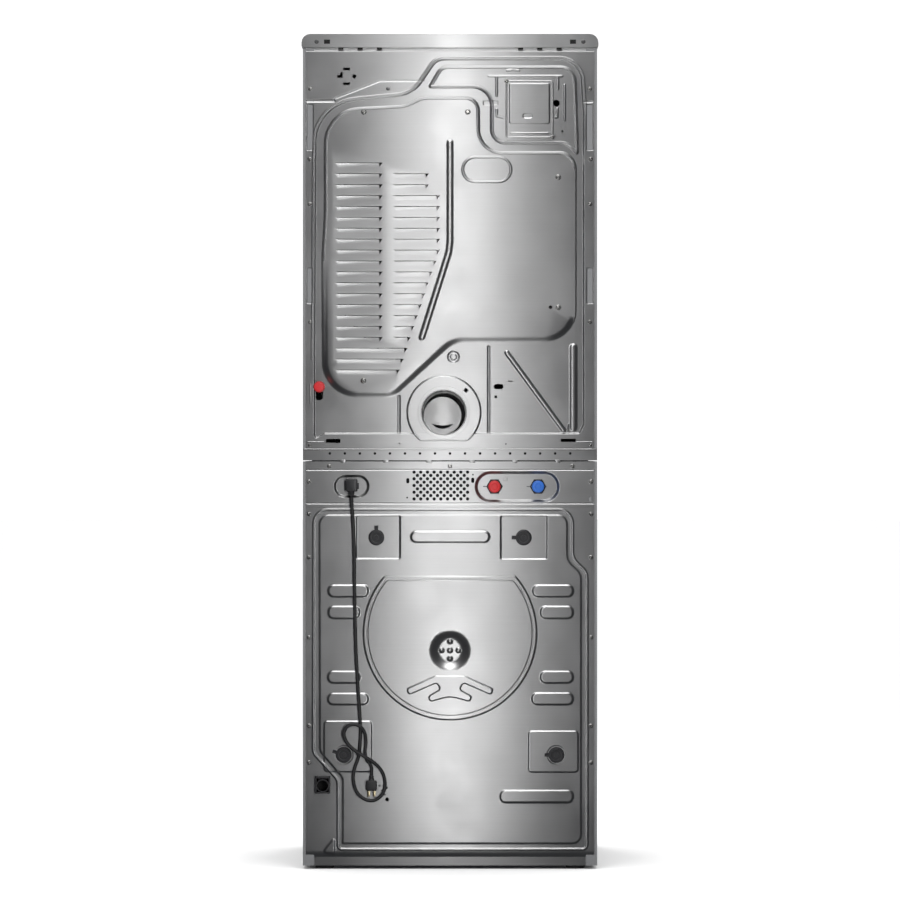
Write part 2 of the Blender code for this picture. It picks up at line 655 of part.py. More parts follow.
def blower_wheel(name, material, blades=10):
    """Blower wheel pressed on the motor's shaft, which carries the belt pulley at its other end."""
    x, z = DRYER_MOTOR_X, DRYER_MOTOR_Z
    paddles = []
    for i in range(blades):
        middle = 2 * math.pi * i / blades
        for angle, radius in ((-0.11, 0.020), (-0.030, 0.068), (0.030, 0.068), (0.11, 0.020)):
            paddles.append((x + radius * math.cos(middle + angle), z + radius * math.sin(middle + angle)))
    near = BLOWER_FRONT + 0.016
    far = BLOWER_REAR - 0.008
    wheel = prism(name, material, paddles, [], near, far, origin=(x, near, z))
    back = rod("back", material, 0.069, far - 0.003, far + 0.001, x, z, 20)
    half = BELT_WIDTH / 2
    rim = DRYER_MOTOR_PULLEY_RADIUS
    shaft = turned("shaft", material,
                   [(0, near + 0.004), (MOTOR_SHAFT_RADIUS, near + 0.004),
                    (MOTOR_SHAFT_RADIUS, DRYER_BELT_Y - half - 0.004),
                    (rim + 0.003, DRYER_BELT_Y - half - 0.004),
                    (rim + 0.003, DRYER_BELT_Y - half - 0.001), (rim, DRYER_BELT_Y - half - 0.001),
                    (rim, DRYER_BELT_Y + half + 0.001), (rim + 0.003, DRYER_BELT_Y + half + 0.001),
                    (rim + 0.003, DRYER_BELT_Y + half + 0.004), (0, DRYER_BELT_Y + half + 0.004)], x, z, 12)
    return join(wheel, back, shaft)


def motor(name, material, x, z, radius, y0, y1, foot_z, step=0.010):
    """Motor body with end bells, standing on its bracket."""
    bore = MOTOR_SHAFT_RADIUS + RUNNING
    body = turned(name, material,
                  [(bore, y0), (radius * 0.45, y0), (radius * 0.8, y0 + step), (radius, y0 + step + 0.006),
                   (radius, y1 - step - 0.006), (radius * 0.8, y1 - step), (radius * 0.45, y1), (bore, y1)],
                  x, z, 20)
    length = y1 - y0
    bracket = block("bracket", material, x - radius * 0.6, x + radius * 0.6, y0 + length * 0.3,
                    y1 - length * 0.3, foot_z, z - radius * 0.7)
    return join(body, bracket)


def loop_belt(name, material, circles, y):
    """Flat belt running tight round its pulleys."""
    outside = around_belt(circles, FIT + BELT_THICKNESS)
    return smooth(prism(name, material, outside, [around_belt(circles, FIT)], y - BELT_WIDTH / 2,
                        y + BELT_WIDTH / 2))


def drum(name, material, axis_z, radius, front, rear, mouth, shaft_radius, shaft_end, wall, fin_height):
    """Open-mouthed drum with three lifting fins inside, turning on the shaft behind it."""
    profile = [(0, shaft_end), (shaft_radius, shaft_end), (shaft_radius, rear), (radius, rear),
               (radius, front), (mouth, front), (mouth, front + wall), (radius - wall, front + wall),
               (radius - wall, rear - wall), (0, rear - wall)]
    shell = turned(name, material, profile, 0, axis_z, 32, origin=(0, front, axis_z))
    fins = []
    for i in range(3):
        angle = math.pi / 2 + 2 * math.pi * i / 3
        across = Vector((-math.sin(angle), math.cos(angle)))
        out = Vector((math.cos(angle), math.sin(angle)))
        root, crest = out * (radius - wall / 2), out * (radius - fin_height)
        shape = [root + across * 0.006, crest + across * 0.004, crest - across * 0.004, root - across * 0.006]
        shape = [(p.x, p.y + axis_z) for p in shape]
        fins.append(prism("fin", material, shape, [], front + 0.060, rear - 0.060))
    return join(shell, *fins)


def burner(name, material):
    """Burner cone along the dryer's floor, open at both ends."""
    x = HALF - 0.105
    z = DRYER_FLOOR + 0.076
    return tube(name, material, 0.045, 0.0432, BLOWER_REAR - 0.020, Y_REAR - 0.085, x, z, 16)


def gas_pipe(name, material):
    """Gas inlet pipe running forward from the rear wall to its valve."""
    valve_y = Y_REAR - 0.300
    pipe = tube(name, material, GAS_PIPE_RADIUS, GAS_PIPE_BORE, valve_y + 0.010, Y_REAR + 0.010, GAS_X,
                GAS_Z, 14)
    valve = block("valve", material, GAS_X - 0.024, GAS_X + 0.024, valve_y - 0.050, valve_y + 0.014,
                  GAS_Z - 0.030, GAS_Z + 0.026)
    return join(pipe, valve)


def exhaust(name, material):
    """Exhaust duct from the blower to the collar that stands out of the rear wall."""
    outer = DUCT_RADIUS + DUCT_WALL
    end = OVERALL_DEPTH / 2
    flange = Y_REAR + FIT
    return turned(name, material,
                  [(DUCT_RADIUS, BLOWER_REAR + FIT), (outer, BLOWER_REAR + FIT), (outer, flange),
                   (DUCT_FLANGE_RADIUS, flange), (DUCT_FLANGE_RADIUS, flange + 0.002),
                   (outer, flange + 0.002),
                   (outer, end), (DUCT_RADIUS, end)], DUCT_X, DUCT_Z, 24)


def push_cap(name, material, radius, x, z, seat, end, wall):
    """Cup-shaped dust cap pushed over a pipe end."""
    inner = radius + RUNNING
    return turned(name, material, [(0, end), (inner + wall, end), (inner + wall, seat), (inner, seat),
                                   (inner, end - 0.003), (0, end - 0.003)], x, z, 16, origin=(x, seat, z))


# ----------------------------------------------------------------------------------------- washer inside

def washer_tub(name, material):
    """Outer tub: a plastic cylinder round the drum, open at the front, with the shaft's bore behind."""
    mouth = WASHER_MOUTH_RADIUS - 0.008
    bore = WASHER_SHAFT_RADIUS + RUNNING
    return turned(name, material,
                  [(bore, TUB_REAR), (TUB_RADIUS, TUB_REAR), (TUB_RADIUS, TUB_FRONT), (mouth, TUB_FRONT),
                   (mouth, TUB_FRONT + TUB_WALL), (TUB_RADIUS - TUB_WALL, TUB_FRONT + TUB_WALL),
                   (TUB_RADIUS - TUB_WALL, TUB_REAR - TUB_WALL), (bore, TUB_REAR - TUB_WALL)],
                  0, WASHER_AXIS, 32)


def gasket(name, material):
    """Rubber bellows between the front panel's mouth and the tub's mouth."""
    r = WASHER_MOUTH_RADIUS
    y0 = Y_FRONT + 0.004 + SKIN + FIT
    y1 = TUB_FRONT - FIT
    reach = y1 - y0
    outer = [(r + 0.010, y0), (r + 0.010, y0 + 0.1 * reach), (r + 0.002, y0 + 0.3 * reach),
             (r + 0.012, y0 + 0.5 * reach), (r + 0.002, y0 + 0.7 * reach), (r + 0.008, y1)]
    inner = [(r - 0.006, y1), (r - 0.008, y0 + 0.9 * reach), (r - 0.004, y0 + 0.7 * reach),
             (r + 0.006, y0 + 0.5 * reach), (r - 0.004, y0 + 0.3 * reach), (r - 0.012, y0)]
    return turned(name, material, outer + inner, 0, WASHER_AXIS, 24)


def pulley(name, material, x, z, radius, y, bore_radius, origin=(0, 0, 0)):
    """Belt pulley with two rims, a thin web and a hub on its shaft."""
    half = BELT_WIDTH / 2
    return turned(name, material,
                  [(bore_radius, y - half - 0.004), (0.028, y - half - 0.004), (0.028, y - 0.002),
                   (radius - 0.012, y - 0.002), (radius - 0.012, y - half - 0.003),
                   (radius + 0.003, y - half - 0.003), (radius + 0.003, y - half - 0.001),
                   (radius, y - half - 0.001), (radius, y + half + 0.001),
                   (radius + 0.003, y + half + 0.001), (radius + 0.003, y + half + 0.003),
                   (radius - 0.012, y + half + 0.003), (radius - 0.012, y + 0.002), (0.028, y + 0.002),
                   (0.028, y + half + 0.004), (bore_radius, y + half + 0.004)], x, z, 24, origin=origin)


def motor_pulley(name, material):
    """The washer motor's shaft with its small belt pulley."""
    y = WASHER_BELT_Y
    half = BELT_WIDTH / 2
    rim = WASHER_MOTOR_PULLEY_RADIUS
    start = y - half - 0.170
    return turned(name, material,
                  [(0, start), (MOTOR_SHAFT_RADIUS, start), (MOTOR_SHAFT_RADIUS, y - half - 0.004),
                   (rim + 0.003, y - half - 0.004), (rim + 0.003, y - half - 0.001), (rim, y - half - 0.001),
                   (rim, y + half + 0.001), (rim + 0.003, y + half + 0.001), (rim + 0.003, y + half + 0.004),
                   (0, y + half + 0.004)], WASHER_MOTOR_X, WASHER_MOTOR_Z, 12,
                  origin=(WASHER_MOTOR_X, y, WASHER_MOTOR_Z))


def transit_places():
    ux, uz = TRANSIT_UPPER
    lx, lz = TRANSIT_LOWER
    return [(ux, WASHER_AXIS + uz), (-ux, WASHER_AXIS + uz), (lx, WASHER_AXIS + lz), (-lx, WASHER_AXIS + lz)]


def transit_bolt(name, material, x, z, tab):
    """Transit bolt with its capped head and grip tab, holding the tub for transport."""
    face = Y_REAR + PAD_RISE + FIT
    head = rod(name, material, TRANSIT_CAP_RADIUS, face, face + 0.007, x, z, 20)
    shank = rod("shank", material, TRANSIT_SHANK_RADIUS, Y_REAR - TRANSIT_REACH, face + 0.002, x, z, 10)
    reach = Vector(tab).normalized() * (TRANSIT_CAP_RADIUS + 0.004)
    grip = block("grip", material, x + reach.x - 0.0055, x + reach.x + 0.0055, face, face + 0.005,
                 z + reach.y - 0.0055, z + reach.y + 0.0055)
    bolt = join(head, shank, grip)
    bolt.data.transform(Matrix.Translation((-x, -face, -z)))
    bolt.location = (x, face, z)
    return bolt


def inlet_valve(name, material):
    """Twin water valve behind the crossbar, with its two threaded ports."""
    floor = Y_REAR - RECESS_DEPTH - SKIN - FIT
    body = block(name, material, COLD_PORT_X - 0.026, COLD_PORT_X + PORT_SPACING + 0.026, floor - 0.055,
                 floor, PORT_Z - 0.024, PORT_Z + 0.020)
    ports, bores = [], []
    for x in (COLD_PORT_X, COLD_PORT_X + PORT_SPACING):
        ports.append(rod("port", material, PORT_RADIUS, floor - 0.010, Y_REAR + 0.006, x, PORT_Z, 16))
        bores.append(rod("bore", material, PORT_BORE, floor - 0.012, Y_REAR + 0.02, x, PORT_Z, 12))
    return carve(join(body, *ports), *bores)


def drain_outlet(name, material):
    """Moulded drain outlet with its hose socket."""
    outline = rounded_rectangle(DRAIN_X - DRAIN_HALF_WIDTH, DRAIN_X + DRAIN_HALF_WIDTH,
                                DRAIN_Z - DRAIN_HALF_HEIGHT, DRAIN_Z + DRAIN_HALF_HEIGHT, 0.004, 2)
    socket = circle(DRAIN_X, DRAIN_Z - 0.002, DRAIN_BORE, 16)
    return prism(name, material, outline, [socket], Y_REAR - 0.045, Y_REAR + 0.011)


# ----------------------------------------------------------------------------------------- doors

def hinge(name, material, z):
    """Door hinge: a plate on the front panel whose two lugs hold the pin."""
    back = Y_FRONT - FIT
    plate = block(name, material, HINGE_X - 0.014, HINGE_X + 0.008, back - 0.003, back, z - 0.046, z + 0.046)
    lugs = []
    for sign in (-1, 1):
        low, high = sorted((z + sign * (KNUCKLE_HALF + 0.0008), z + sign * (KNUCKLE_HALF + 0.014)))
        lugs.append(block("lug", material, HINGE_X - 0.006, HINGE_X + 0.006, HINGE_Y - 0.006, back - 0.001,
                          low, high))
    pin = upright("pin", material, PIN_RADIUS, z - KNUCKLE_HALF - 0.010, z + KNUCKLE_HALF + 0.010,
                  HINGE_X, HINGE_Y)
    return join(plate, *lugs, pin)


def door_frame(name, material, z, glass_radius):
    """Door ring with its hinge knuckle and the pocket that a hand pulls."""
    origin = (HINGE_X, HINGE_Y, z)
    inner = glass_radius + FIT
    profile = [(DOOR_RADIUS - 0.002, DOOR_BACK), (DOOR_RADIUS, DOOR_BACK - 0.004),
               (DOOR_RADIUS, DOOR_FACE + 0.014),
               (DOOR_RADIUS - 0.006, DOOR_FACE + 0.003), (DOOR_RADIUS - 0.020, DOOR_FACE),
               (inner + 0.022, DOOR_FACE), (inner + 0.004, DOOR_FACE + 0.008), (inner, DOOR_FACE + 0.014),
               (inner, DOOR_BACK)]
    ring = turned(name, material, profile, 0, z, 32, origin=origin)
    knuckle = upright("knuckle", material, PIN_RADIUS + 0.0035, z - KNUCKLE_HALF, z + KNUCKLE_HALF,
                      HINGE_X, HINGE_Y)
    web = block("web", material, HINGE_X, -DOOR_RADIUS + 0.010, HINGE_Y - 0.004, HINGE_Y + 0.004,
                z - KNUCKLE_HALF, z + KNUCKLE_HALF)
    bore = upright("bore", material, PIN_RADIUS + RUNNING, z - KNUCKLE_HALF - 0.01, z + KNUCKLE_HALF + 0.01,
                   HINGE_X, HINGE_Y)
    pocket = block("pocket", material, *door_pocket(z))
    return carve(join(ring, knuckle, web), bore, pocket)


def door_pocket(z):
    """Bounds of the hand pocket in the door ring's free side."""
    outer = DOOR_RADIUS - 0.022
    return outer - 0.030, outer, DOOR_FACE - 0.01, DOOR_FACE + 0.030, z - 0.060, z + 0.060


def door_glass(name, material, z, radius, depth, floor_radius, wall):
    """Dished door glass held in the ring, its floor reaching into the machine's mouth."""
    origin = (HINGE_X, HINGE_Y, z)
    front = DOOR_FACE + 0.015
    knee = DOOR_BACK - 0.004
    floor = DOOR_BACK + depth
    profile = [(0, floor), (floor_radius - 0.014, floor), (floor_radius, floor - 0.012), (radius, knee),
               (radius, front), (radius - wall, front), (radius - wall, knee - 0.002),
               (floor_radius - wall, floor - wall - 0.012), (floor_radius - 0.016, floor - wall),
               (0, floor - wall)]
    return turned(name, material, profile, 0, z, 32, origin=origin)


# ----------------------------------------------------------------------------------------- console

def console(name, material):
    """Shared control console: a moulded shell with holes for the knob shafts and start buttons."""
    reach = HALF - 0.002
    shell = block(name, material, -reach, reach, CONSOLE_FACE, Y_FRONT + SKIN, CONSOLE_BOTTOM, CONSOLE_TOP)
    wall = 0.003
    hollow = block("hollow", material, -reach + wall, reach - wall, CONSOLE_FACE + wall, Y_FRONT + 0.01,
                   CONSOLE_BOTTOM + wall, CONSOLE_TOP - wall)
    holes = []
    for side in (-1, 1):
        knob_x = side * (HALF - KNOB_INSET)
        button_x = side * (HALF - BUTTON_INSET)
        for x, radius in ((knob_x, KNOB_SHAFT_RADIUS), (button_x, BUTTON_RADIUS)):
            holes.append(rod("hole", material, radius + RUNNING, CONSOLE_FACE - 0.01, CONSOLE_FACE + 0.01,
                             x, CONSOLE_AXIS))
    return carve(shell, hollow, *holes)


def knob(name, material, x):
    """Cycle knob with its shaft through the console."""
    seat = CONSOLE_FACE - 0.001
    tip = -OVERALL_DEPTH / 2
    profile = [(0, tip), (KNOB_RADIUS - 0.008, tip), (KNOB_RADIUS - 0.005, tip + 0.003),
               (KNOB_RADIUS - 0.003, seat - 0.012), (KNOB_RADIUS, seat - 0.008), (KNOB_RADIUS, seat),
               (KNOB_SHAFT_RADIUS, seat), (KNOB_SHAFT_RADIUS, CONSOLE_FACE + 0.022),
               (0, CONSOLE_FACE + 0.022)]
    return turned(name, material, profile, x, CONSOLE_AXIS, 20, origin=(x, seat, CONSOLE_AXIS))


def start_button(name, material, x):
    """Push button with a collar behind the console that keeps it in."""
    face = CONSOLE_FACE - 0.004
    back = CONSOLE_FACE + 0.0035
    profile = [(0, face), (BUTTON_RADIUS - 0.002, face), (BUTTON_RADIUS, face + 0.001), (BUTTON_RADIUS, back),
               (BUTTON_RADIUS + 0.0025, back), (BUTTON_RADIUS + 0.0025, back + 0.002), (0, back + 0.002)]
    return turned(name, material, profile, x, CONSOLE_AXIS, 16, origin=(x, face, CONSOLE_AXIS))


def drawer_body():
    """Bounds of the drawer's tray behind its front."""
    return (DRAWER_LEFT + 0.008, DRAWER_RIGHT - 0.008, Y_FRONT - 0.003, Y_FRONT - 0.003 + DRAWER_LENGTH,
            DRAWER_BOTTOM + 0.010, DRAWER_TOP - 0.018)


def dispenser_drawer(name, material):
    """Detergent drawer: a handled front on a tray of three compartments."""
    x0, x1, y0, y1, z0, z1 = drawer_body()
    face = Y_FRONT - 0.002
    front = block(name, material, DRAWER_LEFT, DRAWER_RIGHT, face - 0.014, face, DRAWER_BOTTOM, DRAWER_TOP,
                  origin=(x0, face, z0))
    body = block("body", material, x0, x1, face - 0.002, y1, z0, z1)
    wall = 0.002
    wide = (x1 - x0 - 4 * wall) / 3
    cells = []
    for i in range(3):
        left = x0 + wall + i * (wide + wall)
        cells.append(block("cell", material, left, left + wide, face + wall, y1 - wall, z0 + wall, z1 + 0.01))
    grip = block("grip", material, DRAWER_LEFT + 0.050, DRAWER_RIGHT - 0.050, face - 0.020, face - 0.004,
                 DRAWER_BOTTOM - 0.01, DRAWER_BOTTOM + 0.022)
    return carve(join(front, body), *cells, grip)


def dispenser_box(name, material):
    """Housing that the drawer runs in, fixed behind the front panel."""
    x0, x1, y0, y1, z0, z1 = drawer_body()
    front = Y_FRONT + SKIN + FIT
    gap = 0.0015
    wall = 0.0025
    shell = block(name, material, x0 - gap - wall, x1 + gap + wall, front, y1 + gap + wall, z0 - gap - wall,
                  z1 + 0.012 + wall)
    hollow = block("hollow", material, x0 - gap, x1 + gap, front - 0.01, y1 + gap, z0 - gap, z1 + 0.012)
    return carve(shell, hollow)


# ----------------------------------------------------------------------------------------- power cord

CORD_Y = Y_REAR + 0.0095            # centreline, just clear of the pressed rear wall
CROSS_Y = CORD_Y + 0.0090           # where one strand lies over another
CORD_EXIT_DROP = 0.082              # cord's exit below the washer's top
CORD_ROUTE = [                      # x, y, z above the washer's base, stretched to reach the exit
    (0.2268, CORD_Y, 0.852), (0.2267, CORD_Y, 0.836), (0.2247, CORD_Y, 0.807), (0.2225, CORD_Y, 0.767),
    (0.2210, CORD_Y, 0.706), (0.2200, CORD_Y, 0.613), (0.2170, CORD_Y, 0.498), (0.2120, CORD_Y, 0.405),
    (0.2080, CORD_Y, 0.345),
    (0.2065, CORD_Y, 0.315), (0.2075, CORD_Y, 0.285), (0.2110, CORD_Y, 0.252), (0.2200, CORD_Y, 0.226),
    (0.2230, CORD_Y, 0.198), (0.2140, CORD_Y, 0.169), (0.1940, CORD_Y, 0.153), (0.1730, CORD_Y, 0.152),
    (0.1555, CORD_Y, 0.167), (0.1500, CORD_Y, 0.192), (0.1570, CORD_Y + 0.002, 0.218),
    (0.1745, CORD_Y + 0.006, 0.238), (0.1960, CROSS_Y, 0.252), (0.2150, CROSS_Y, 0.264),
    (0.2345, CROSS_Y, 0.281), (0.2445, CROSS_Y, 0.302), (0.2390, CROSS_Y, 0.320), (0.2230, CROSS_Y, 0.327),
    (0.2070, CROSS_Y - 0.001, 0.322), (0.1965, CORD_Y + 0.004, 0.306), (0.1945, CORD_Y, 0.285),
    (0.1960, CORD_Y, 0.262), (0.1935, CORD_Y, 0.247), (0.1860, CORD_Y, 0.237), (0.1812, CORD_Y, 0.228),
    (0.1810, CORD_Y, 0.218), (0.1810, CORD_Y, 0.208),
]


def smooth_route(points, spacing):
    """Points read at an even spacing from a Catmull-Rom curve through the route."""
    ends = [points[0] * 2 - points[1]] + points + [points[-1] * 2 - points[-2]]
    fine = []
    for a, b, c, d in zip(ends, ends[1:], ends[2:], ends[3:]):
        for step in range(20):
            t = step / 20
            fine.append(0.5 * (2 * b + (c - a) * t + (2 * a - 5 * b + 4 * c - d) * t ** 2
                               + (3 * b - a - 3 * c + d) * t ** 3))
    fine.append(points[-1])
    total = sum((q - p).length for p, q in zip(fine, fine[1:]))
    count = round(total / spacing)
    read = [fine[0]]
    walked = 0.0
    for p, q in zip(fine, fine[1:]):
        walked += (q - p).length
        if walked >= total * len(read) / count - 1e-9:
            read.append(q)
    return read


def cord_points():
    """Cord centreline in the tower's frame, from the strain relief to the plug."""
    stretch = (WASHER_TOP - CORD_EXIT_DROP - FOOT_GAP) / CORD_ROUTE[0][2]
    return [Vector((x, y, FOOT_GAP + z * stretch)) for x, y, z in CORD_ROUTE]


def power_cord(name, material):
    points = smooth_route(cord_points(), 0.019)
    curve = bpy.data.curves.new(name, "CURVE")
    curve.dimensions = "3D"
    curve.bevel_depth = CORD_RADIUS
    curve.bevel_resolution = 2
    curve.use_fill_caps = True
    spline = curve.splines.new("POLY")
    spline.points.add(len(points) - 1)
    start = points[0]
    for slot, point in zip(spline.points, points):
        slot.co = (*(point - start), 1.0)
    curve.materials.append(material)
    piece = bpy.data.objects.new(name, curve)
    piece.location = start
    bpy.context.collection.objects.link(piece)
    return piece


def strain_relief(name, material):
    """Strain relief block in its recess, tapering round the cord below."""
    x, y, z = cord_points()[0]
    floor = Y_REAR - CORD_RECESS_DEPTH + FIT
    body = block(name, material, x - 0.013, x + 0.013, floor, CORD_Y + 0.007, z + 0.012, z + 0.042)
    sleeve = prism("sleeve", material, circle(x, y, 0.0065, 16), [], z + FIT, z + 0.020, plane="XY")
    return join(body, sleeve)


def power_plug(name, material):
    """Moulded plug at the cord's end, hanging prongs down."""
    end = cord_points()[-1]
    top = end.z - FIT
    x, y = end.x, end.y + 0.002
    neck = prism(name, material, circle(end.x, end.y, 0.0055, 14), [], top - 0.014, top, plane="XY",
                 origin=(end.x, end.y, top))
    head = block("head", material, x - 0.0125, x + 0.0125, y - 0.0075, y + 0.0075, top - 0.034, top - 0.010)
    prongs = [block("prong", material, x + dx - 0.003, x + dx + 0.003, y - 0.0008, y + 0.0008,
                    top - 0.048, top - 0.032) for dx in (-0.0065, 0.0065)]
    return join(neck, head, *prongs)


# ----------------------------------------------------------------------------------------- the tower

def build():
    clear_scene()
    steel = paint("galvanised_steel", (0.62, 0.63, 0.64), 0.35, 0.9)
    silver = paint("silver_paint", (0.55, 0.56, 0.57), 0.35, 0.6)
    black = paint("black_plastic", (0.02, 0.02, 0.022), 0.45)
    white = paint("white_plastic", (0.75, 0.76, 0.77), 0.4)
    rubber = paint("grey_rubber", (0.16, 0.16, 0.17), 0.7)
    cord_skin = paint("cord_jacket", (0.015, 0.015, 0.017), 0.5)
    glass = paint("door_glass", (0.10, 0.12, 0.14), 0.05, alpha=0.35)
    stainless = paint("stainless_drum", (0.70, 0.70, 0.71), 0.2, 1.0)
    motor_paint = paint("motor_casting", (0.20, 0.20, 0.21), 0.5, 0.7)
    screen = paint("lint_mesh", (0.60, 0.62, 0.64), 0.5)
    red = paint("red_plastic", (0.75, 0.02, 0.03), 0.35)
    blue = paint("blue_plastic", (0.02, 0.16, 0.65), 0.35)
    valve = paint("valve_body", (0.85, 0.86, 0.87), 0.4)

    feet = [(x, y, FOOT_STEM_RADIUS + RUNNING) for x, y in foot_places()]
    tray("washer_base", steel, FOOT_GAP, FOOT_GAP + 0.040, feet)
    tray("dryer_base", steel, DRYER_FLOOR, DRYER_FLOOR + BRACKET_HEIGHT, [])
    for side, word in ((-1, "left"), (1, "right")):
        side_panel("washer_side_" + word, silver, side, FOOT_GAP, WASHER_TOP - FIT)
        side_panel("dryer_side_" + word, silver, side, DRYER_FLOOR, DRYER_TOP - FIT)
    drawer_hole = ("hole", rectangle(DRAWER_LEFT + 0.006, DRAWER_RIGHT - 0.006, DRAWER_BOTTOM + 0.008,
                                     DRAWER_TOP - 0.016))
    front_panel("washer_front_panel", silver, FOOT_GAP + 0.004, CONSOLE_BOTTOM - 0.001, WASHER_AXIS,
                WASHER_MOUTH_RADIUS, [drawer_hole])
    front_panel("dryer_front_panel", silver, CONSOLE_TOP + 0.001, DRYER_TOP - FIT, DRYER_AXIS,
                DRYER_MOUTH_RADIUS, [])
    washer_rear("washer_rear_panel", steel)
    rear_crossbar("washer_rear_crossbar", steel)
    stack_bracket("stack_bracket", steel)
    dryer_rear("dryer_rear_panel", steel)
    terminal_cover("terminal_cover", steel)
    lid("dryer_top", silver)
    for number, (x, y) in enumerate(foot_places(), 1):
        foot("foot_%d" % number, rubber, x, y)

    washer_tub("washer_tub", white)
    drum("washer_drum", stainless, WASHER_AXIS, DRUM_RADIUS, TUB_FRONT + 0.020, TUB_REAR - 0.025,
         WASHER_MOUTH_RADIUS - 0.004, WASHER_SHAFT_RADIUS, WASHER_BELT_Y + BELT_WIDTH / 2 + 0.012, 0.0012,
         0.045)
    gasket("door_gasket", rubber)
    pulley("washer_pulley", motor_paint, 0, WASHER_AXIS, WASHER_PULLEY_RADIUS, WASHER_BELT_Y,
           WASHER_SHAFT_RADIUS + FIT, origin=(0, WASHER_BELT_Y, WASHER_AXIS))
    motor_end = WASHER_BELT_Y - BELT_WIDTH / 2 - 0.010
    motor("washer_motor", motor_paint, WASHER_MOTOR_X, WASHER_MOTOR_Z, WASHER_MOTOR_RADIUS, motor_end - 0.150,
          motor_end, FOOT_GAP + 2 * SKIN + FIT)
    motor_pulley("washer_motor_pulley", motor_paint)
    wheels = [(0, WASHER_AXIS, WASHER_PULLEY_RADIUS),
              (WASHER_MOTOR_X, WASHER_MOTOR_Z, WASHER_MOTOR_PULLEY_RADIUS)]
    loop_belt("washer_belt", rubber, wheels, WASHER_BELT_Y)
    tabs = [(0, 1), (1, 0), (1, 0.25), (1, 0)]
    for number, ((x, z), tab) in enumerate(zip(transit_places(), tabs), 1):
        transit_bolt("transit_bolt_%d" % number, black, x, z, tab)
    inlet_valve("inlet_valve", valve)
    cap_seat = Y_REAR - RECESS_DEPTH + 0.004
    for word, colour, x in (("cold", blue, COLD_PORT_X), ("hot", red, COLD_PORT_X + PORT_SPACING)):
        push_cap(word + "_cap", colour, PORT_RADIUS, x, PORT_Z, cap_seat, Y_REAR + 0.0095, CAP_WALL)
    drain_outlet("drain_outlet", black)

    drum_bulkhead("drum_bulkhead", steel)
    lint_screen("lint_screen", screen)
    blower_housing("blower_housing", white)
    blower_wheel("blower_wheel", black)
    motor("dryer_motor", motor_paint, DRYER_MOTOR_X, DRYER_MOTOR_Z, DRYER_MOTOR_RADIUS, BLOWER_REAR + 0.020,
          DRYER_BELT_Y - BELT_WIDTH / 2 - 0.010, DRYER_FLOOR + 2 * SKIN + FIT)
    drum("dryer_drum", stainless, DRYER_AXIS, DRYER_DRUM_RADIUS, DRYER_DRUM_FRONT, DRYER_DRUM_REAR,
         DRYER_MOUTH_RADIUS + 0.015, DRYER_SHAFT_RADIUS, DRYER_DRUM_REAR + 0.060, 0.0012, 0.055)
    loop_belt("drum_belt", rubber, [(0, DRYER_AXIS, DRYER_DRUM_RADIUS),
                                    (DRYER_MOTOR_X, DRYER_MOTOR_Z, DRYER_MOTOR_PULLEY_RADIUS)], DRYER_BELT_Y)
    burner("burner_housing", steel)
    gas_pipe("gas_pipe", steel)
    push_cap("gas_cap", red, GAS_PIPE_RADIUS, GAS_X, GAS_Z, Y_REAR + 0.0008, Y_REAR + 0.0135, 0.0020)
    exhaust("exhaust_duct", steel)

    for word, z, mouth_glass, depth, floor_radius in (
            ("washer", WASHER_AXIS, WASHER_GLASS_RADIUS, 0.070, 0.122),
            ("dryer", DRYER_AXIS, DRYER_GLASS_RADIUS, 0.014, 0.160)):
        hinge(word + "_hinge", silver, z)
        door_frame(word + "_door_frame", silver, z, mouth_glass)
        part = "bowl" if word == "washer" else "window"
        door_glass(word + "_door_" + part, glass, z, mouth_glass, depth, floor_radius, 0.005)

    console("console", black)
    for side, word in ((-1, "washer"), (1, "dryer")):
        knob(word + "_knob", silver, side * (HALF - KNOB_INSET))
        start_button(word + "_start_button", silver, side * (HALF - BUTTON_INSET))
    dispenser_drawer("dispenser_drawer", white)
    dispenser_box("dispenser_box", white)

    power_cord("power_cord", cord_skin)
    strain_relief("cord_strain_relief", black)
    power_plug("power_plug", cord_skin)


build()
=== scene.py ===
import math

import bmesh
import bpy
import numpy as np
from mathutils import Matrix, Vector
from mathutils.geometry import delaunay_2d_cdt


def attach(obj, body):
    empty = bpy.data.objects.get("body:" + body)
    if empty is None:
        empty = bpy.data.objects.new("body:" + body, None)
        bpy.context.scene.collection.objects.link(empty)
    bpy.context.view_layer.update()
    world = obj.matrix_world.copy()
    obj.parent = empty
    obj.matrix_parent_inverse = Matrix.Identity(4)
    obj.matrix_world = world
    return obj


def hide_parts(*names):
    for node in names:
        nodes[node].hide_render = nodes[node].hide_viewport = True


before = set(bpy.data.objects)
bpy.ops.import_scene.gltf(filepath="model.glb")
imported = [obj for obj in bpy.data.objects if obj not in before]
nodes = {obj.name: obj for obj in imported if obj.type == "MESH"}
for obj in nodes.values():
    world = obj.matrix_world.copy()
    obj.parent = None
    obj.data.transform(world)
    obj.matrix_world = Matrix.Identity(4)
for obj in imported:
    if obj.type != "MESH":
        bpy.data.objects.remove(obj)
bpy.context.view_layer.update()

# ---------------------------------------------------------------- the studio
# A pale seamless floor and a white room.  The camera looks square on at the service side through a long lens.
# A tall narrow softbox behind the camera's line and wide soft panels above and beside it light the steel.

REAR_FACE = 0.385
VIEW_WIDTH = 2.079          # what the frame takes in at the rear wall
VIEW_HEIGHT = 0.968
CAMERA_DISTANCE = 12.0


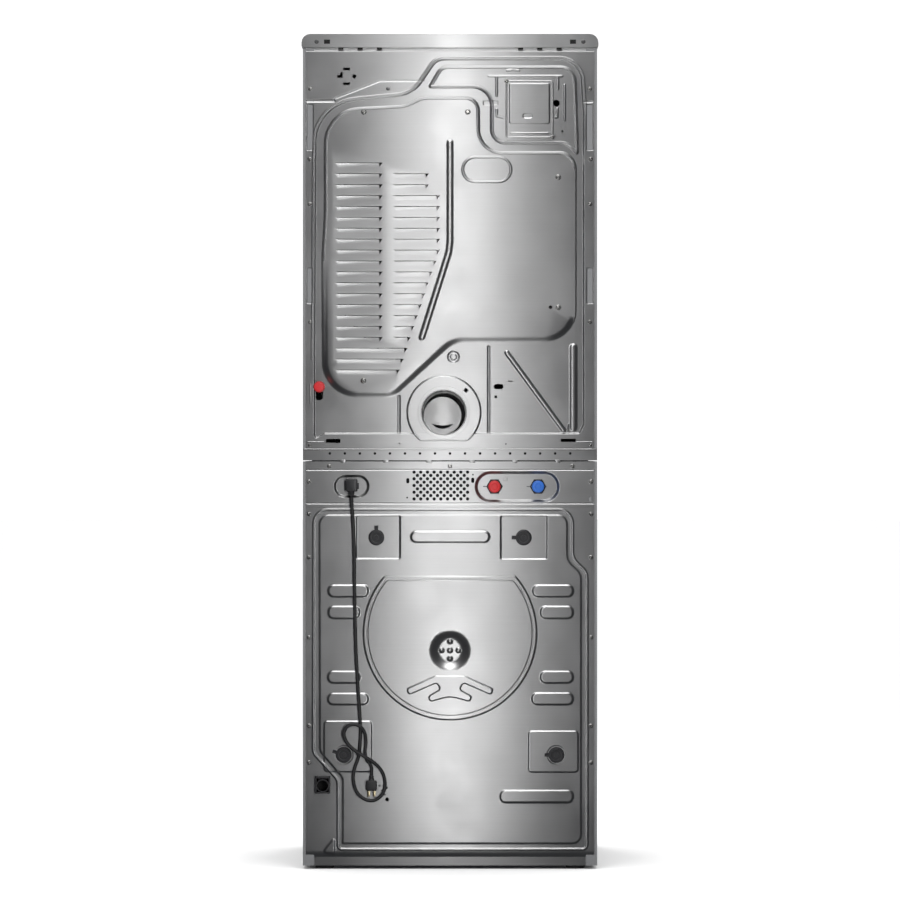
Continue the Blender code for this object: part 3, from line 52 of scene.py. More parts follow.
def soft_light(name, place, aim, width, height, watts, colour=(1.0, 1.0, 1.0)):
    """Rectangular softbox that the camera doesn't see."""
    light = bpy.data.lights.new(name, "AREA")
    light.shape = "RECTANGLE"
    light.size, light.size_y = width, height
    light.energy = watts
    light.color = colour
    box = bpy.data.objects.new(name, light)
    box.location = place
    box.rotation_euler = (Vector(aim) - Vector(place)).to_track_quat("-Z", "Y").to_euler()
    box.visible_camera = False
    bpy.context.scene.collection.objects.link(box)
    return box


lens = bpy.data.cameras.new("camera")
lens.sensor_width = 36.0
lens.lens = 36.0 * CAMERA_DISTANCE / VIEW_WIDTH
lens.clip_end = 100.0
camera = bpy.data.objects.new("camera", lens)
camera.location = (0.0, REAR_FACE + CAMERA_DISTANCE, VIEW_HEIGHT)
camera.rotation_euler = (math.pi / 2, 0.0, math.pi)
bpy.context.scene.collection.objects.link(camera)
bpy.context.scene.camera = camera

for side, word in ((1, "rear"), (-1, "front")):
    soft_light(word + "_strip", (0, side * 1.35, 1.07), (0, 0, 1.07), 0.10, 2.3, 3.9)
    soft_light(word + "_overhead", (0, side * 2.1, 3.6), (0, side * 0.3, 1.0), 2.2, 1.5, 34)
    soft_light(word + "_wash", (0, side * 4.5, 1.6), (0, 0, 1.0), 4.5, 3.0, 0.6)
for side, word in ((1, "right"), (-1, "left")):
    soft_light(word + "_panel", (side * 3.6, 0.0, 1.6), (0, 0, 0.9), 2.2, 2.6, 1.5)

room = bpy.data.worlds.new("room")
room.use_nodes = True
bpy.context.scene.world = room
tree = room.node_tree
ray = tree.nodes.new("ShaderNodeLightPath")
mix = tree.nodes.new("ShaderNodeMix")
mix.data_type = "RGBA"
mix.inputs[6].default_value = (1.13, 1.13, 1.13, 1)
mix.inputs[7].default_value = (0.030, 0.031, 0.034, 1)
tree.links.new(ray.outputs["Is Glossy Ray"], mix.inputs[0])
tree.links.new(mix.outputs[2], tree.nodes["Background"].inputs["Color"])
tree.nodes["Background"].inputs["Strength"].default_value = 1.0

bpy.ops.mesh.primitive_circle_add(vertices=96, radius=60, fill_type="NGON", location=(0, 0, 0))
floor = bpy.context.object
floor.name = "floor"
pale = bpy.data.materials.new("pale_floor")
pale.use_nodes = True
pale.node_tree.nodes["Principled BSDF"].inputs["Base Color"].default_value = (0.95, 0.95, 0.95, 1)
pale.node_tree.nodes["Principled BSDF"].inputs["Roughness"].default_value = 0.8
pale.node_tree.nodes["Principled BSDF"].inputs["Specular IOR Level"].default_value = 0.1
floor.data.materials.append(pale)
floor.visible_glossy = False
bpy.context.scene.view_settings.view_transform = "Standard"

# ---------------------------------------------------------------- power cord
# Round three-core lead with a black rubber jacket, 8 mm thick.  It leaves the strain relief downwards, hangs
# free, and its spare length is folded into a figure of eight and tied where the strands cross.

CORD_Y = 0.3945
CROSS_Y = CORD_Y + 0.0090
CORD_THICKNESS = 0.008
CORD_ROUTE = [
    (0.2268, CORD_Y, 0.860), (0.2267, CORD_Y, 0.844), (0.2247, CORD_Y, 0.815), (0.2225, CORD_Y, 0.775),
    (0.2210, CORD_Y, 0.714), (0.2200, CORD_Y, 0.621), (0.2170, CORD_Y, 0.506), (0.2120, CORD_Y, 0.413),
    (0.2080, CORD_Y, 0.353), (0.2065, CORD_Y, 0.323), (0.2075, CORD_Y, 0.293), (0.2110, CORD_Y, 0.260),
    (0.2200, CORD_Y, 0.234), (0.2230, CORD_Y, 0.206), (0.2140, CORD_Y, 0.177), (0.1940, CORD_Y, 0.161),
    (0.1730, CORD_Y, 0.160), (0.1555, CORD_Y, 0.175), (0.1500, CORD_Y, 0.200),
    (0.1570, CORD_Y + 0.002, 0.226), (0.1745, CORD_Y + 0.006, 0.246), (0.1960, CROSS_Y, 0.260),
    (0.2150, CROSS_Y, 0.272),
    (0.2345, CROSS_Y, 0.289), (0.2445, CROSS_Y, 0.310), (0.2390, CROSS_Y, 0.328), (0.2230, CROSS_Y, 0.335),
    (0.2070, CROSS_Y - 0.001, 0.330), (0.1965, CORD_Y + 0.004, 0.314), (0.1945, CORD_Y, 0.293),
    (0.1960, CORD_Y, 0.270), (0.1935, CORD_Y, 0.255), (0.1860, CORD_Y, 0.245), (0.1812, CORD_Y, 0.236),
    (0.1810, CORD_Y, 0.226), (0.1810, CORD_Y, 0.216),
]


def flowing(points, steps):
    """Smooth line through the points."""
    ends = [points[0] * 2 - points[1]] + points + [points[-1] * 2 - points[-2]]
    line = []
    for a, b, c, d in zip(ends, ends[1:], ends[2:], ends[3:]):
        for i in range(steps):
            t = i / steps
            line.append(0.5 * (2 * b + (c - a) * t + (2 * a - 5 * b + 4 * c - d) * t ** 2
                               + (3 * b - a - 3 * c + d) * t ** 3))
    return line + [points[-1]]


def finish(name):
    """New material with its node tree, its shader and the object's own coordinates."""
    material = bpy.data.materials.new(name)
    material.use_nodes = True
    tree = material.node_tree
    place = tree.nodes.new("ShaderNodeTexCoord").outputs["Object"]
    return material, tree, tree.nodes["Principled BSDF"], place


def node(tree, kind, **values):
    """New node with its inputs set; an underscore in a name stands for a space."""
    made = tree.nodes.new(kind)
    for socket, value in values.items():
        made.inputs[socket.replace("_", " ")].default_value = value
    return made


def shades(tree, dark, light, low=0.0, high=1.0):
    """Ramp from the dark colour to the light one."""
    ramp = tree.nodes.new("ShaderNodeValToRGB")
    for stop, position, colour in zip(ramp.color_ramp.elements, (low, high), (dark, light)):
        stop.position = position
        stop.color = (*colour, 1)
    return ramp


def wire(tree, *runs):
    """Link each run's source to the named input of its target; a node gives its first output."""
    for source, target, socket in runs:
        if hasattr(source, "outputs"):
            source = source.outputs[0]
        tree.links.new(source, target.inputs[socket])


def moulded(name, colour, roughness, grain=900.0, depth=0.06, mottle=0.12, coat=0.0):
    """Injection-moulded plastic or rubber: a fine eroded grain, and slightly uneven colour and sheen."""
    material, tree, shader, place = finish(name)
    cloud = node(tree, "ShaderNodeTexNoise", Scale=23.0, Detail=3.0)
    fine = node(tree, "ShaderNodeTexNoise", Scale=grain, Detail=2.0)
    ramp = shades(tree, [c * (1 - mottle) for c in colour],
                  [min(1.0, c * (1 + mottle) + 0.002) for c in colour], 0.3, 0.7)
    sheen = node(tree, "ShaderNodeMapRange", To_Min=roughness * 0.85, To_Max=min(1.0, roughness * 1.15))
    bump = node(tree, "ShaderNodeBump", Strength=depth, Distance=0.0004)
    wire(tree, (place, cloud, "Vector"), (place, fine, "Vector"), (cloud, ramp, "Fac"),
         (ramp, shader, "Base Color"), (cloud, sheen, "Value"), (sheen, shader, "Roughness"),
         (fine, bump, "Height"), (bump, shader, "Normal"))
    shader.inputs["Coat Weight"].default_value = coat
    return material


def place_on(piece, body, material_slot, *replaced):
    """Ride the finished piece on its body and hide the pieces it replaces."""
    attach(piece, body)
    if replaced:
        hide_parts(*replaced)
    return piece


cord_rubber = moulded("cord_rubber", (0.012, 0.012, 0.013), 0.42, grain=1500, depth=0.04)
cord_line = flowing([Vector(p) for p in CORD_ROUTE], 8)
curve = bpy.data.curves.new("power_cord", "CURVE")
curve.dimensions = "3D"
curve.bevel_depth = CORD_THICKNESS / 2
curve.bevel_resolution = 4
curve.use_fill_caps = True
spline = curve.splines.new("POLY")
spline.points.add(len(cord_line) - 1)
for slot, point in zip(spline.points, cord_line):
    slot.co = (*point, 1.0)
curve.materials.append(cord_rubber)
cord = bpy.data.objects.new("power_cord_lead", curve)
bpy.context.scene.collection.objects.link(cord)
place_on(cord, "cabinet", "cord_jacket", "power_cord")


def crisp(mesh, angle):
    """Smooth faces with sharp edges above the angle."""
    mesh.shade_smooth()
    mesh.set_sharp_from_angle(angle=math.radians(angle))


def linked(name, data):
    """New object in the scene."""
    piece = bpy.data.objects.new(name, data)
    bpy.context.scene.collection.objects.link(piece)
    return piece


def solid(name, verts, faces, material, angle=32.0):
    """Mesh piece with smooth faces and crisp edges above the angle."""
    mesh = bpy.data.meshes.new(name)
    mesh.from_pydata([tuple(v) for v in verts], [], faces)
    mesh.validate()
    tidy = bmesh.new()
    tidy.from_mesh(mesh)
    bmesh.ops.remove_doubles(tidy, verts=tidy.verts, dist=1e-6)
    bmesh.ops.recalc_face_normals(tidy, faces=tidy.faces)
    tidy.to_mesh(mesh)
    tidy.free()
    crisp(mesh, angle)
    mesh.materials.append(material)
    return linked(name, mesh)


def lathe(profile, count=48, centre=(0, 0, 0), axis="Y"):
    """Vertices and faces of a closed (radius, along) profile turned about an axis through the centre."""
    verts, rings = [], []
    for radius, along in profile:
        ring = []
        turns = count if radius > 1e-7 else 1
        for i in range(turns):
            angle = 2 * math.pi * i / count
            u, v = radius * math.cos(angle), radius * math.sin(angle)
            ring.append(len(verts))
            point = {"Y": (u, along, v), "Z": (u, v, along), "X": (along, u, v)}[axis]
            verts.append(Vector(point) + Vector(centre))
        rings.append(ring)
    faces = []
    closed = profile[0][0] > 1e-7 and profile[-1][0] > 1e-7
    pairs = list(zip(rings, rings[1:])) + ([(rings[-1], rings[0])] if closed else [])
    for a, b in pairs:
        for i in range(count):
            j = (i + 1) % count
            quad = [a[i % len(a)], a[j % len(a)], b[j % len(b)], b[i % len(b)]]
            face = [quad[0]]
            for k in quad[1:]:
                if k not in face:
                    face.append(k)
            if len(face) > 2:
                faces.append(face)
    return verts, faces


def merge(*parts):
    """One list of vertices and faces from several."""
    verts, faces = [], []
    for v, f in parts:
        base = len(verts)
        verts += list(v)
        faces += [[base + i for i in face] for face in f]
    return verts, faces


def rounded_block(x0, x1, y0, y1, z0, z1, radius=0.001, segments=3):
    """Vertices and faces of a block with rounded edges."""
    shape = bmesh.new()
    bmesh.ops.create_cube(shape, size=1.0)
    for v in shape.verts:
        v.co = ((x0 + x1) / 2 + v.co.x * (x1 - x0), (y0 + y1) / 2 + v.co.y * (y1 - y0),
                (z0 + z1) / 2 + v.co.z * (z1 - z0))
    bmesh.ops.bevel(shape, geom=shape.edges[:], offset=radius, segments=segments, profile=0.5, affect="EDGES")
    shape.verts.index_update()
    result = [v.co.copy() for v in shape.verts], [[v.index for v in f.verts] for f in shape.faces]
    shape.free()
    return result


# ---------------------------------------------------------------- strain relief, tie and plug
# Black nylon bushing snapped into the crossbar, with a ribbed collar that tapers round the cord; a plastic
# wire tie round the crossing strands; and a moulded plug whose brass blades point down.

black_plastic = moulded("black_plastic", (0.016, 0.016, 0.018), 0.42, coat=0.15)
rx, ry, rz = CORD_ROUTE[0]
collar = [(0.0042, rz + 0.0003)]
for i in range(7):
    low = rz + 0.002 + i * 0.0026
    width = 0.0052 + i * 0.00022
    collar += [(width, low), (width + 0.0007, low + 0.0006), (width + 0.0007, low + 0.0014),
               (width, low + 0.002)]
collar += [(0.0068, rz + 0.0205), (0.0042, rz + 0.0205)]
relief_shape = merge(
    lathe([(0, rz + 0.0003)] + collar[1:-1] + [(0, rz + 0.0205)], 32, (rx, ry, 0), "Z"),
    rounded_block(rx - 0.013, rx + 0.013, 0.3775, 0.4010, rz + 0.012, rz + 0.0415, 0.003),
    rounded_block(rx + 0.0112, rx + 0.0165, 0.3775, 0.3860, rz + 0.015, rz + 0.038, 0.001),
    rounded_block(rx - 0.0165, rx - 0.0112, 0.3775, 0.3860, rz + 0.018, rz + 0.032, 0.001),
    rounded_block(rx - 0.0085, rx + 0.0085, 0.4005, 0.4016, rz + 0.018, rz + 0.036, 0.0005),
)
strain_relief = solid("strain_relief", *relief_shape, black_plastic)
place_on(strain_relief, "cabinet", "black_plastic", "cord_strain_relief")

tie = lathe([(0.0132, -0.0018), (0.0142, -0.0018), (0.0142, 0.0018), (0.0132, 0.0018)], 40)
tie_centre = Vector((0.2052, 0.3984, 0.2655))
tie_turn = Matrix.Rotation(math.radians(90), 3, "X")
flat = Matrix.Diagonal((0.80, 0.64, 1.0))
tie_verts = [flat @ (tie_turn @ v) + tie_centre for v in tie[0]]
tie_lock = rounded_block(0.2022, 0.2082, 0.4053, 0.4073, 0.2625, 0.2685, 0.0006)
cord_tie = solid("cord_tie", *merge((tie_verts, tie[1]), tie_lock), black_plastic)
place_on(cord_tie, "cabinet", "black_plastic")

px, py, pz = CORD_ROUTE[-1]
top = pz - 0.0003
grip_block = rounded_block(px - 0.0125, px + 0.0125, py - 0.0055, py + 0.0095, top - 0.034, top - 0.010,
                           0.0032, 4)
grips = [rounded_block(px + s * 0.0121 - 0.0005, px + s * 0.0121 + 0.0005, py - 0.003, py + 0.007,
                       top - 0.016 - i * 0.003, top - 0.0148 - i * 0.003, 0.0003, 1)
         for s in (-1, 1) for i in range(5)]
neck = lathe([(0, top), (0.0050, top), (0.0055, top - 0.001), (0.0048, top - 0.003), (0.0055, top - 0.0045),
              (0.0050, top - 0.0065), (0.0062, top - 0.008), (0.0075, top - 0.0125), (0, top - 0.0125)],
             32, (px, py, 0), "Z")
power_plug = solid("plug_body", *merge(grip_block, neck, *grips), cord_rubber)
place_on(power_plug, "cabinet", "cord_jacket", "power_plug")

blade_brass = moulded("plug_blades", (0.78, 0.66, 0.42), 0.28, depth=0.02)
blade_brass.node_tree.nodes["Principled BSDF"].inputs["Metallic"].default_value = 1.0
blades = solid("plug_blades", *merge(*[
    rounded_block(px + dx - 0.003, px + dx + 0.003, py + 0.0012, py + 0.0028, top - 0.048, top - 0.0335,
                  0.0004, 2) for dx in (-0.0065, 0.0065)]), blade_brass)
place_on(blades, "cabinet", "cord_jacket")

# ---------------------------------------------------------------- washer's rear wall
# One drawing of galvanised sheet steel, screwed round its edge to the sides and the crossbar.  A raised field
# inside a ribbed border carries stiffening beads, the big disc with its dished centre, and the bolt pads.

SHEET = 0.0012


def arc_corners(corners, steps=7):
    """Closed outline through (x, z, radius) corners, each turned by an arc."""
    outline = []
    for i, (x, z, radius) in enumerate(corners):
        here = Vector((x, z))
        before = (Vector(corners[i - 1][:2]) - here)
        after = (Vector(corners[(i + 1) % len(corners)][:2]) - here)
        room = min(before.length, after.length) * 0.499
        before.normalize()
        after.normalize()
        half = before.angle(after) / 2
        if abs(half - math.pi / 2) < 0.01 or radius < 1e-5:
            outline.append((x, z))
            continue
        radius = min(radius, room * math.tan(half))
        centre = here + (before + after).normalized() * (radius / math.sin(half))
        start = here + before * (radius / math.tan(half)) - centre
        end = here + after * (radius / math.tan(half)) - centre
        first = math.atan2(start.y, start.x)
        sweep = (math.atan2(end.y, end.x) - first + math.pi) % (2 * math.pi) - math.pi
        count = max(2, round(steps * abs(sweep) / (math.pi / 2)))
        for step in range(count + 1):
            angle = first + sweep * step / count
            outline.append((centre.x + radius * math.cos(angle), centre.y + radius * math.sin(angle)))
    return outline


def box_outline(x0, x1, z0, z1, radius, steps=5):
    return arc_corners([(x0, z0, radius), (x1, z0, radius), (x1, z1, radius), (x0, z1, radius)], steps)


def ring_outline(x, z, radius, count=24, phase=0.0):
    return [(x + radius * math.cos(phase + 2 * math.pi * i / count),
             z + radius * math.sin(phase + 2 * math.pi * i / count)) for i in range(count)]


def arc(x, z, radius, degrees):
    """Points on a circle at the angles."""
    return [(x + radius * math.cos(math.radians(a)), z + radius * math.sin(math.radians(a))) for a in degrees]


def shifted(outline, distance):
    """Closed outline moved inwards by the distance."""
    pts = np.array(outline)
    nxt = np.roll(pts, -1, 0)
    area = np.sum(pts[:, 0] * nxt[:, 1] - nxt[:, 0] * pts[:, 1])
    leave = nxt - pts
    leave /= np.linalg.norm(leave, axis=1)[:, None]
    arrive = np.roll(leave, 1, 0)
    along = arrive + leave
    along /= np.linalg.norm(along, axis=1)[:, None]
    inward = np.stack([-along[:, 1], along[:, 0]], 1) * (1 if area > 0 else -1)
    grow = distance / np.maximum(np.sum(along * leave, 1), 0.6)
    return [tuple(p) for p in pts + inward * grow[:, None]]


def around_path(path, distance, caps=6):
    """Closed outline at a distance from an open path, with round ends."""
    pts = [Vector(p) for p in path]
    left, right = [], []
    for i, p in enumerate(pts):
        a = (p - pts[i - 1]).normalized() if i else (pts[1] - p).normalized()
        b = (pts[i + 1] - p).normalized() if i < len(pts) - 1 else a
        along = (a + b).normalized()
        side = Vector((-along.y, along.x)) * (distance / max(along.dot(b), 0.6))
        left.append(p + side)
        right.append(p - side)
    outline = list(left)
    for end, way in ((pts[-1], pts[-1] - pts[-2]), (pts[0], pts[0] - pts[1])):
        first = math.atan2(way.y, way.x) + math.pi / 2
        if end is pts[0]:
            outline += right[::-1]
        for k in range(1, caps):
            angle = first - math.pi * k / caps
            outline.append(end + Vector((math.cos(angle), math.sin(angle))) * distance)
    return [tuple(p) for p in outline]


def inside(points, outline):
    """Which points lie inside a closed outline."""
    x, z = points[:, 0], points[:, 1]
    hit = np.zeros(len(points), bool)
    for (ax, az), (bx, bz) in zip(outline, outline[1:] + outline[:1]):
        crosses = (az > z) != (bz > z)
        with np.errstate(divide="ignore", invalid="ignore"):
            hit ^= crosses & (x < (bx - ax) * (z - az) / (bz - az) + ax)
    return hit


def reach(points, line, closed):
    """Distance from each point to a line through the given points."""
    best = np.full(len(points), 1e9)
    ends = line[1:] + line[:1] if closed else line[1:]
    for a, b in zip(line, ends):
        a, b = np.array(a), np.array(b)
        run = b - a
        t = np.clip(((points - a) @ run) / max(run @ run, 1e-12), 0, 1)
        best = np.minimum(best, np.linalg.norm(points - a - t[:, None] * run, axis=1))
    return best


def field(outline, draft, rise):
    """Region pressed out by the rise, its wall drawn over the draft inside the outline."""
    return ("field", list(outline), draft, rise)


def rib(path, half_width, rise, closed=False, flat=0.25):
    """Bead along a path: round shoulders and a top that is flat over a share of its half width."""
    return ("rib", list(path), half_width, rise, closed, flat)


def ease(t):
    """Soft step from 0 to 1."""
    t = np.clip(t, 0, 1)
    return t * t * (3 - 2 * t)


def pressed_height(points, features):
    """How far each point stands out of the flat sheet."""
    height = np.zeros(len(points))
    for kind, line, *sizes in features:
        line_points = np.array(line)
        if kind == "field":
            draft, rise = sizes
            low, high = line_points.min(0) - 0.001, line_points.max(0) + 0.001
            near = np.all((points > low) & (points < high), axis=1)
            some = points[near]
            depth = np.where(inside(some, line), reach(some, line, True), 0.0)
            height[near] += rise * ease(depth / draft)
        elif kind == "plateau":
            rise, steep, gentle, below = sizes
            near = inside(points, line)
            some = points[near]
            share = np.full(len(some), 1e9)
            for a, b in zip(line, line[1:] + line[:1]):
                wall = gentle if (a[1] + b[1]) / 2 < below else steep
                share = np.minimum(share, reach(some, [a, b], False) / wall)
            height[near] += rise * ease(share)
        elif kind == "rib":
            half, rise, closed, flat = sizes
            low, high = line_points.min(0) - half, line_points.max(0) + half
            near = np.all((points > low) & (points < high), axis=1)
            away = reach(points[near], line, closed)
            height[near] += rise * ease((half - away) / (half * (1 - flat)))
        elif kind == "louvre":
            (x0, x1, top, end, tall, gap, deep) = sizes[0]
            near = inside(points, shifted(line, -1e-6))
            some = points[near]
            up = (some[:, 1] - (top - tall)) / (tall - gap)
            slope = np.array([end, tall]) / math.hypot(end, tall)
            scale = (end * slope[1] - gap * slope[0])
            left = ((some[:, 0] - x0) * slope[1] - (top - some[:, 1]) * slope[0]) / scale
            right = ((x1 - some[:, 0]) * slope[1] - (top - some[:, 1]) * slope[0]) / scale
            height[near] -= deep * np.clip(np.minimum(up, np.minimum(left, right)), 0, 1)
    return height


def settle(piece, angle):
    """Keep the evaluated mesh as the piece's own, without its modifiers, and set its crisp edges."""
    done = piece.evaluated_get(bpy.context.evaluated_depsgraph_get())
    piece.data = bpy.data.meshes.new_from_object(done)
    piece.modifiers.clear()
    crisp(piece.data, angle)


def pressing(name, outline, features, holes, face, material, angle=30.0):
    """Sheet pressed to the features, its outer face at y = face, with the holes cut through."""
    coords, edges = [], []

    def loop(points, closed=True):
        base = len(coords)
        coords.extend(Vector(p) for p in points)
        count = len(points)
        edges.extend((base + i, base + (i + 1) % count) for i in range(count if closed else count - 1))

    loop(outline)
    for kind, line, *sizes in features:
        if kind == "field":
            draft = sizes[0]
            walls = 6 if draft < 0.02 and abs(sizes[1]) < draft else 12
            for step in range(walls + 1):
                loop(line if step == 0 else shifted(line, draft * step / walls))
            loop(shifted(line, -0.0007))
            loop(shifted(line, draft + 0.0007))
        elif kind == "plateau":
            rise, steep, gentle, below = sizes
            loop(shifted(line, -0.0007))
            for distance in [steep * k / 8 for k in range(9)] + [gentle * k / 8 for k in range(2, 9)]:
                loop(line if distance == 0 else shifted(line, distance))
        elif kind == "rib":
            half, rise, closed, flat = sizes
            offsets = [half + 0.0007] + [half * (1 - (1 - flat) * k / 5) for k in range(6)]
            for distance in offsets:
                if closed:
                    loop(shifted(line, distance))
                    loop(shifted(line, -distance))
                else:
                    loop(around_path(line, distance))
        elif kind == "louvre":
            x0, x1, top, end, tall, gap, deep = sizes[0]
            loop(line)
            loop([(x0 + end, top - gap), (x0 + end, top - tall)], False)
            loop([(x1 - end, top - gap), (x1 - end, top - tall)], False)
    for hole in holes:
        loop(hole)
    verts, _, faces, *_ = delaunay_2d_cdt(coords, edges, [], 0, 1e-6)
    points = np.array([tuple(v) for v in verts])
    corners = np.array([tuple(f) for f in faces])
    middle = points[corners].mean(axis=1)
    keep = inside(middle, list(outline))
    for hole in holes:
        rim = np.array(hole)
        near = np.where(np.all((middle > rim.min(0)) & (middle < rim.max(0)), axis=1))[0]
        keep[near[inside(middle[near], list(hole))]] = False
    height = pressed_height(points, features)
    mesh = bpy.data.meshes.new(name)
    mesh.from_pydata([(x, face + h, z) for (x, z), h in zip(points, height)], [], corners[keep].tolist())
    tidy = bmesh.new()
    tidy.from_mesh(mesh)
    bmesh.ops.delete(tidy, geom=[v for v in tidy.verts if not v.link_faces], context="VERTS")
    for f in tidy.faces:
        f.normal_update()
        if f.normal.y < 0:
            f.normal_flip()
    tidy.to_mesh(mesh)
    tidy.free()
    mesh.materials.append(material)
    piece = linked(name, mesh)
    gauge = piece.modifiers.new("gauge", "SOLIDIFY")
    gauge.thickness = SHEET
    gauge.offset = -1.0
    settle(piece, angle)
    return piece


def sheet_steel(name, tone=0.60, roughness=0.33, streak=1.0, along="X", mottle=0.05, tint=(1.0, 1.0, 1.0)):
    """Coated sheet steel off the coil: fine rolling streaks, a faint cloudiness and tiny handling marks."""
    material, tree, shader, place = finish(name)
    shader.inputs["Metallic"].default_value = 1.0
    scales = {"X": (4, 60, 900), "Z": (900, 60, 4), "Y": (900, 4, 900)}
    stretch = node(tree, "ShaderNodeMapping", Scale=scales[along])
    roll = node(tree, "ShaderNodeTexNoise", Scale=1.0, Detail=4.0, Roughness=0.65)
    cloud = node(tree, "ShaderNodeTexNoise", Scale=9.0, Detail=5.0, Roughness=0.6)
    spangle = node(tree, "ShaderNodeTexVoronoi", Scale=190.0)
    blend = node(tree, "ShaderNodeMix", Factor=0.45)
    ramp = shades(tree, [tone * (1 - mottle) * c for c in tint], [tone * (1 + mottle) * c for c in tint],
                  0.30, 0.70)
    sheen = node(tree, "ShaderNodeMapRange", From_Min=0.3, From_Max=0.7, To_Min=roughness - 0.035,
                 To_Max=roughness + 0.035)
    grit = tree.nodes.new("ShaderNodeMath")
    grit.operation = "MULTIPLY_ADD"
    grit.inputs[1].default_value = 0.15
    bump = node(tree, "ShaderNodeBump", Strength=0.10 * streak, Distance=0.0002)
    wire(tree, (place, stretch, "Vector"), (stretch, roll, "Vector"), (place, cloud, "Vector"),
         (place, spangle, "Vector"), (roll, blend, 2), (cloud, blend, 3), (blend, ramp, "Fac"),
         (ramp, shader, "Base Color"), (cloud, sheen, "Value"), (sheen, shader, "Roughness"),
         (spangle, grit, 0), (roll, grit, 2), (grit, bump, "Height"), (bump, shader, "Normal"))
    return material


rear_steel = sheet_steel("rear_steel")

WASHER_BOTTOM, WASHER_FIELD_TOP = 0.010, 0.8357
FIELD_RISE = 0.0028
BOLTS = [(0.170, 0.766), (-0.170, 0.766), (0.2455, 0.264), (-0.2455, 0.264)]
WASHER_AXIS = 0.505
DISC_RADIUS, DISC_Z = 0.202, 0.545
border = arc_corners([(0.304, 0.820, 0.024), (-0.273, 0.820, 0.024), (-0.273, 0.714, 0.030),
                      (-0.305, 0.683, 0.030), (-0.305, 0.057, 0.022), (0.250, 0.057, 0.004),
                      (0.250, 0.210, 0.020), (0.303, 0.272, 0.020)])
border_rib = arc_corners([(0.3145, 0.8305, 0.032), (-0.283, 0.8305, 0.032), (-0.283, 0.718, 0.034),
                          (-0.3165, 0.685, 0.030), (-0.3165, 0.0455, 0.012), (0.2585, 0.0455, 0.010),
                          (0.2585, 0.206, 0.024), (0.3155, 0.268, 0.024)])
disc_rim = arc(0, DISC_Z, DISC_RADIUS, np.linspace(-221.5, 41.5, 96))
fork = arc_corners([(0.034, 0.448, 0.010), (0.101, 0.418, 0.007), (0.097, 0.400, 0.008), (0.031, 0.429, 0.006),
                    (0.024, 0.416, 0.005), (0.052, 0.400, 0.008), (0.047, 0.385, 0.008), (0.0, 0.398, 0.05),
                    (-0.047, 0.385, 0.008), (-0.052, 0.400, 0.008), (-0.024, 0.416, 0.005),
                    (-0.031, 0.429, 0.006), (-0.097, 0.400, 0.008), (-0.101, 0.418, 0.007),
                    (-0.034, 0.448, 0.010)], 6)
corner_fold = arc_corners([(0.300, 0.036, 0.008), (0.2635, 0.031, 0.006), (0.2635, 0.066, 0.004),
                           (0.270, 0.074, 0.006)])
washer_forms = [field(border, 0.0048, FIELD_RISE), rib(border_rib, 0.0040, 0.0022, True)]
for x0, x1, z0, z1 in ((0.113, 0.218, 0.715, 0.8185), (-0.226, -0.115, 0.714, 0.8185)):
    washer_forms.append(field(box_outline(x0, x1, z0, z1, 0.006), 0.0045, -FIELD_RISE + 0.0004))
for x0, x1, z0, z1 in ((0.179, 0.293, 0.223, 0.344), (-0.298, -0.179, 0.222, 0.321)):
    washer_forms.append(field(box_outline(x0, x1, z0, z1, 0.010), 0.0042, 0.0021))
for x, z in BOLTS[2:]:
    washer_forms.append(field(ring_outline(x, z, 0.0225, 32), 0.0018, -0.0024))
for x0, x1, z0, z1 in ((0.186, 0.284, 0.626, 0.659), (0.206, 0.284, 0.576, 0.610),
                       (0.205, 0.285, 0.427, 0.460), (0.186, 0.285, 0.377, 0.409),
                       (-0.287, -0.188, 0.626, 0.659), (-0.287, -0.206, 0.576, 0.610),
                       (-0.287, -0.206, 0.427, 0.460), (-0.287, -0.186, 0.377, 0.410),
                       (-0.094, 0.093, 0.752, 0.783), (-0.287, -0.113, 0.151, 0.185)):
    washer_forms.append(field(box_outline(x0, x1, z0, z1, 0.0155, 6), 0.0062, 0.0025))
washer_forms += [field(disc_rim, 0.0040, 0.0022), rib(shifted(disc_rim, 0.0105), 0.0030, -0.0008, True),
                 field(ring_outline(0, WASHER_AXIS, 0.0495, 48), 0.0260, -0.0100)]
for x, z in ((0, 0.0205), (0, 0), (0, -0.0195), (-0.0195, 0), (0.0195, 0)):
    washer_forms.append(field(ring_outline(x, WASHER_AXIS + z, 0.0076, 20), 0.0062, 0.0052))
washer_forms += [field(fork, 0.0040, 0.0016), field(corner_fold, 0.006, 0.0022),
                 field([(-0.38, -0.03), (0.38, -0.03), (0.38, 0.0425), (-0.38, 0.0425)], 0.032, -0.0070)]
washer_holes = [ring_outline(x, z, 0.0078, 16) for x, z in BOLTS]
washer_holes += [ring_outline(x, z, r, 12) for x, z, r in (
    (0.163, 0.193, 0.0024), (0.147, 0.188, 0.0036), (0.1515, 0.172, 0.0026), (0.145, 0.161, 0.0046),
    (0.158, 0.182, 0.0018))]
washer_holes.append([(0.2762, 0.1747), (0.3118, 0.1747), (0.3118, 0.2153), (0.2762, 0.2153)])
washer_rear = pressing("washer_rear_wall", [(-0.333, WASHER_BOTTOM), (0.333, WASHER_BOTTOM),
                                            (0.333, WASHER_FIELD_TOP), (-0.333, WASHER_FIELD_TOP)],
                       washer_forms, washer_holes, REAR_FACE, rear_steel)
place_on(washer_rear, "cabinet", "galvanised_steel", "washer_rear_panel")

# ---------------------------------------------------------------- rear crossbar
# Steel channel across the top of the washer's back, folded along both edges and screwed at the corners.
# It carries the dished seats of the water valve and the cord, and a block of punched ventilation holes.

CROSSBAR = (0.8362, 0.9416)


def stadium(x0, x1, z0, z1, steps=10):
    return box_outline(x0, x1, z0, z1, (z1 - z0) * 0.4995, steps)


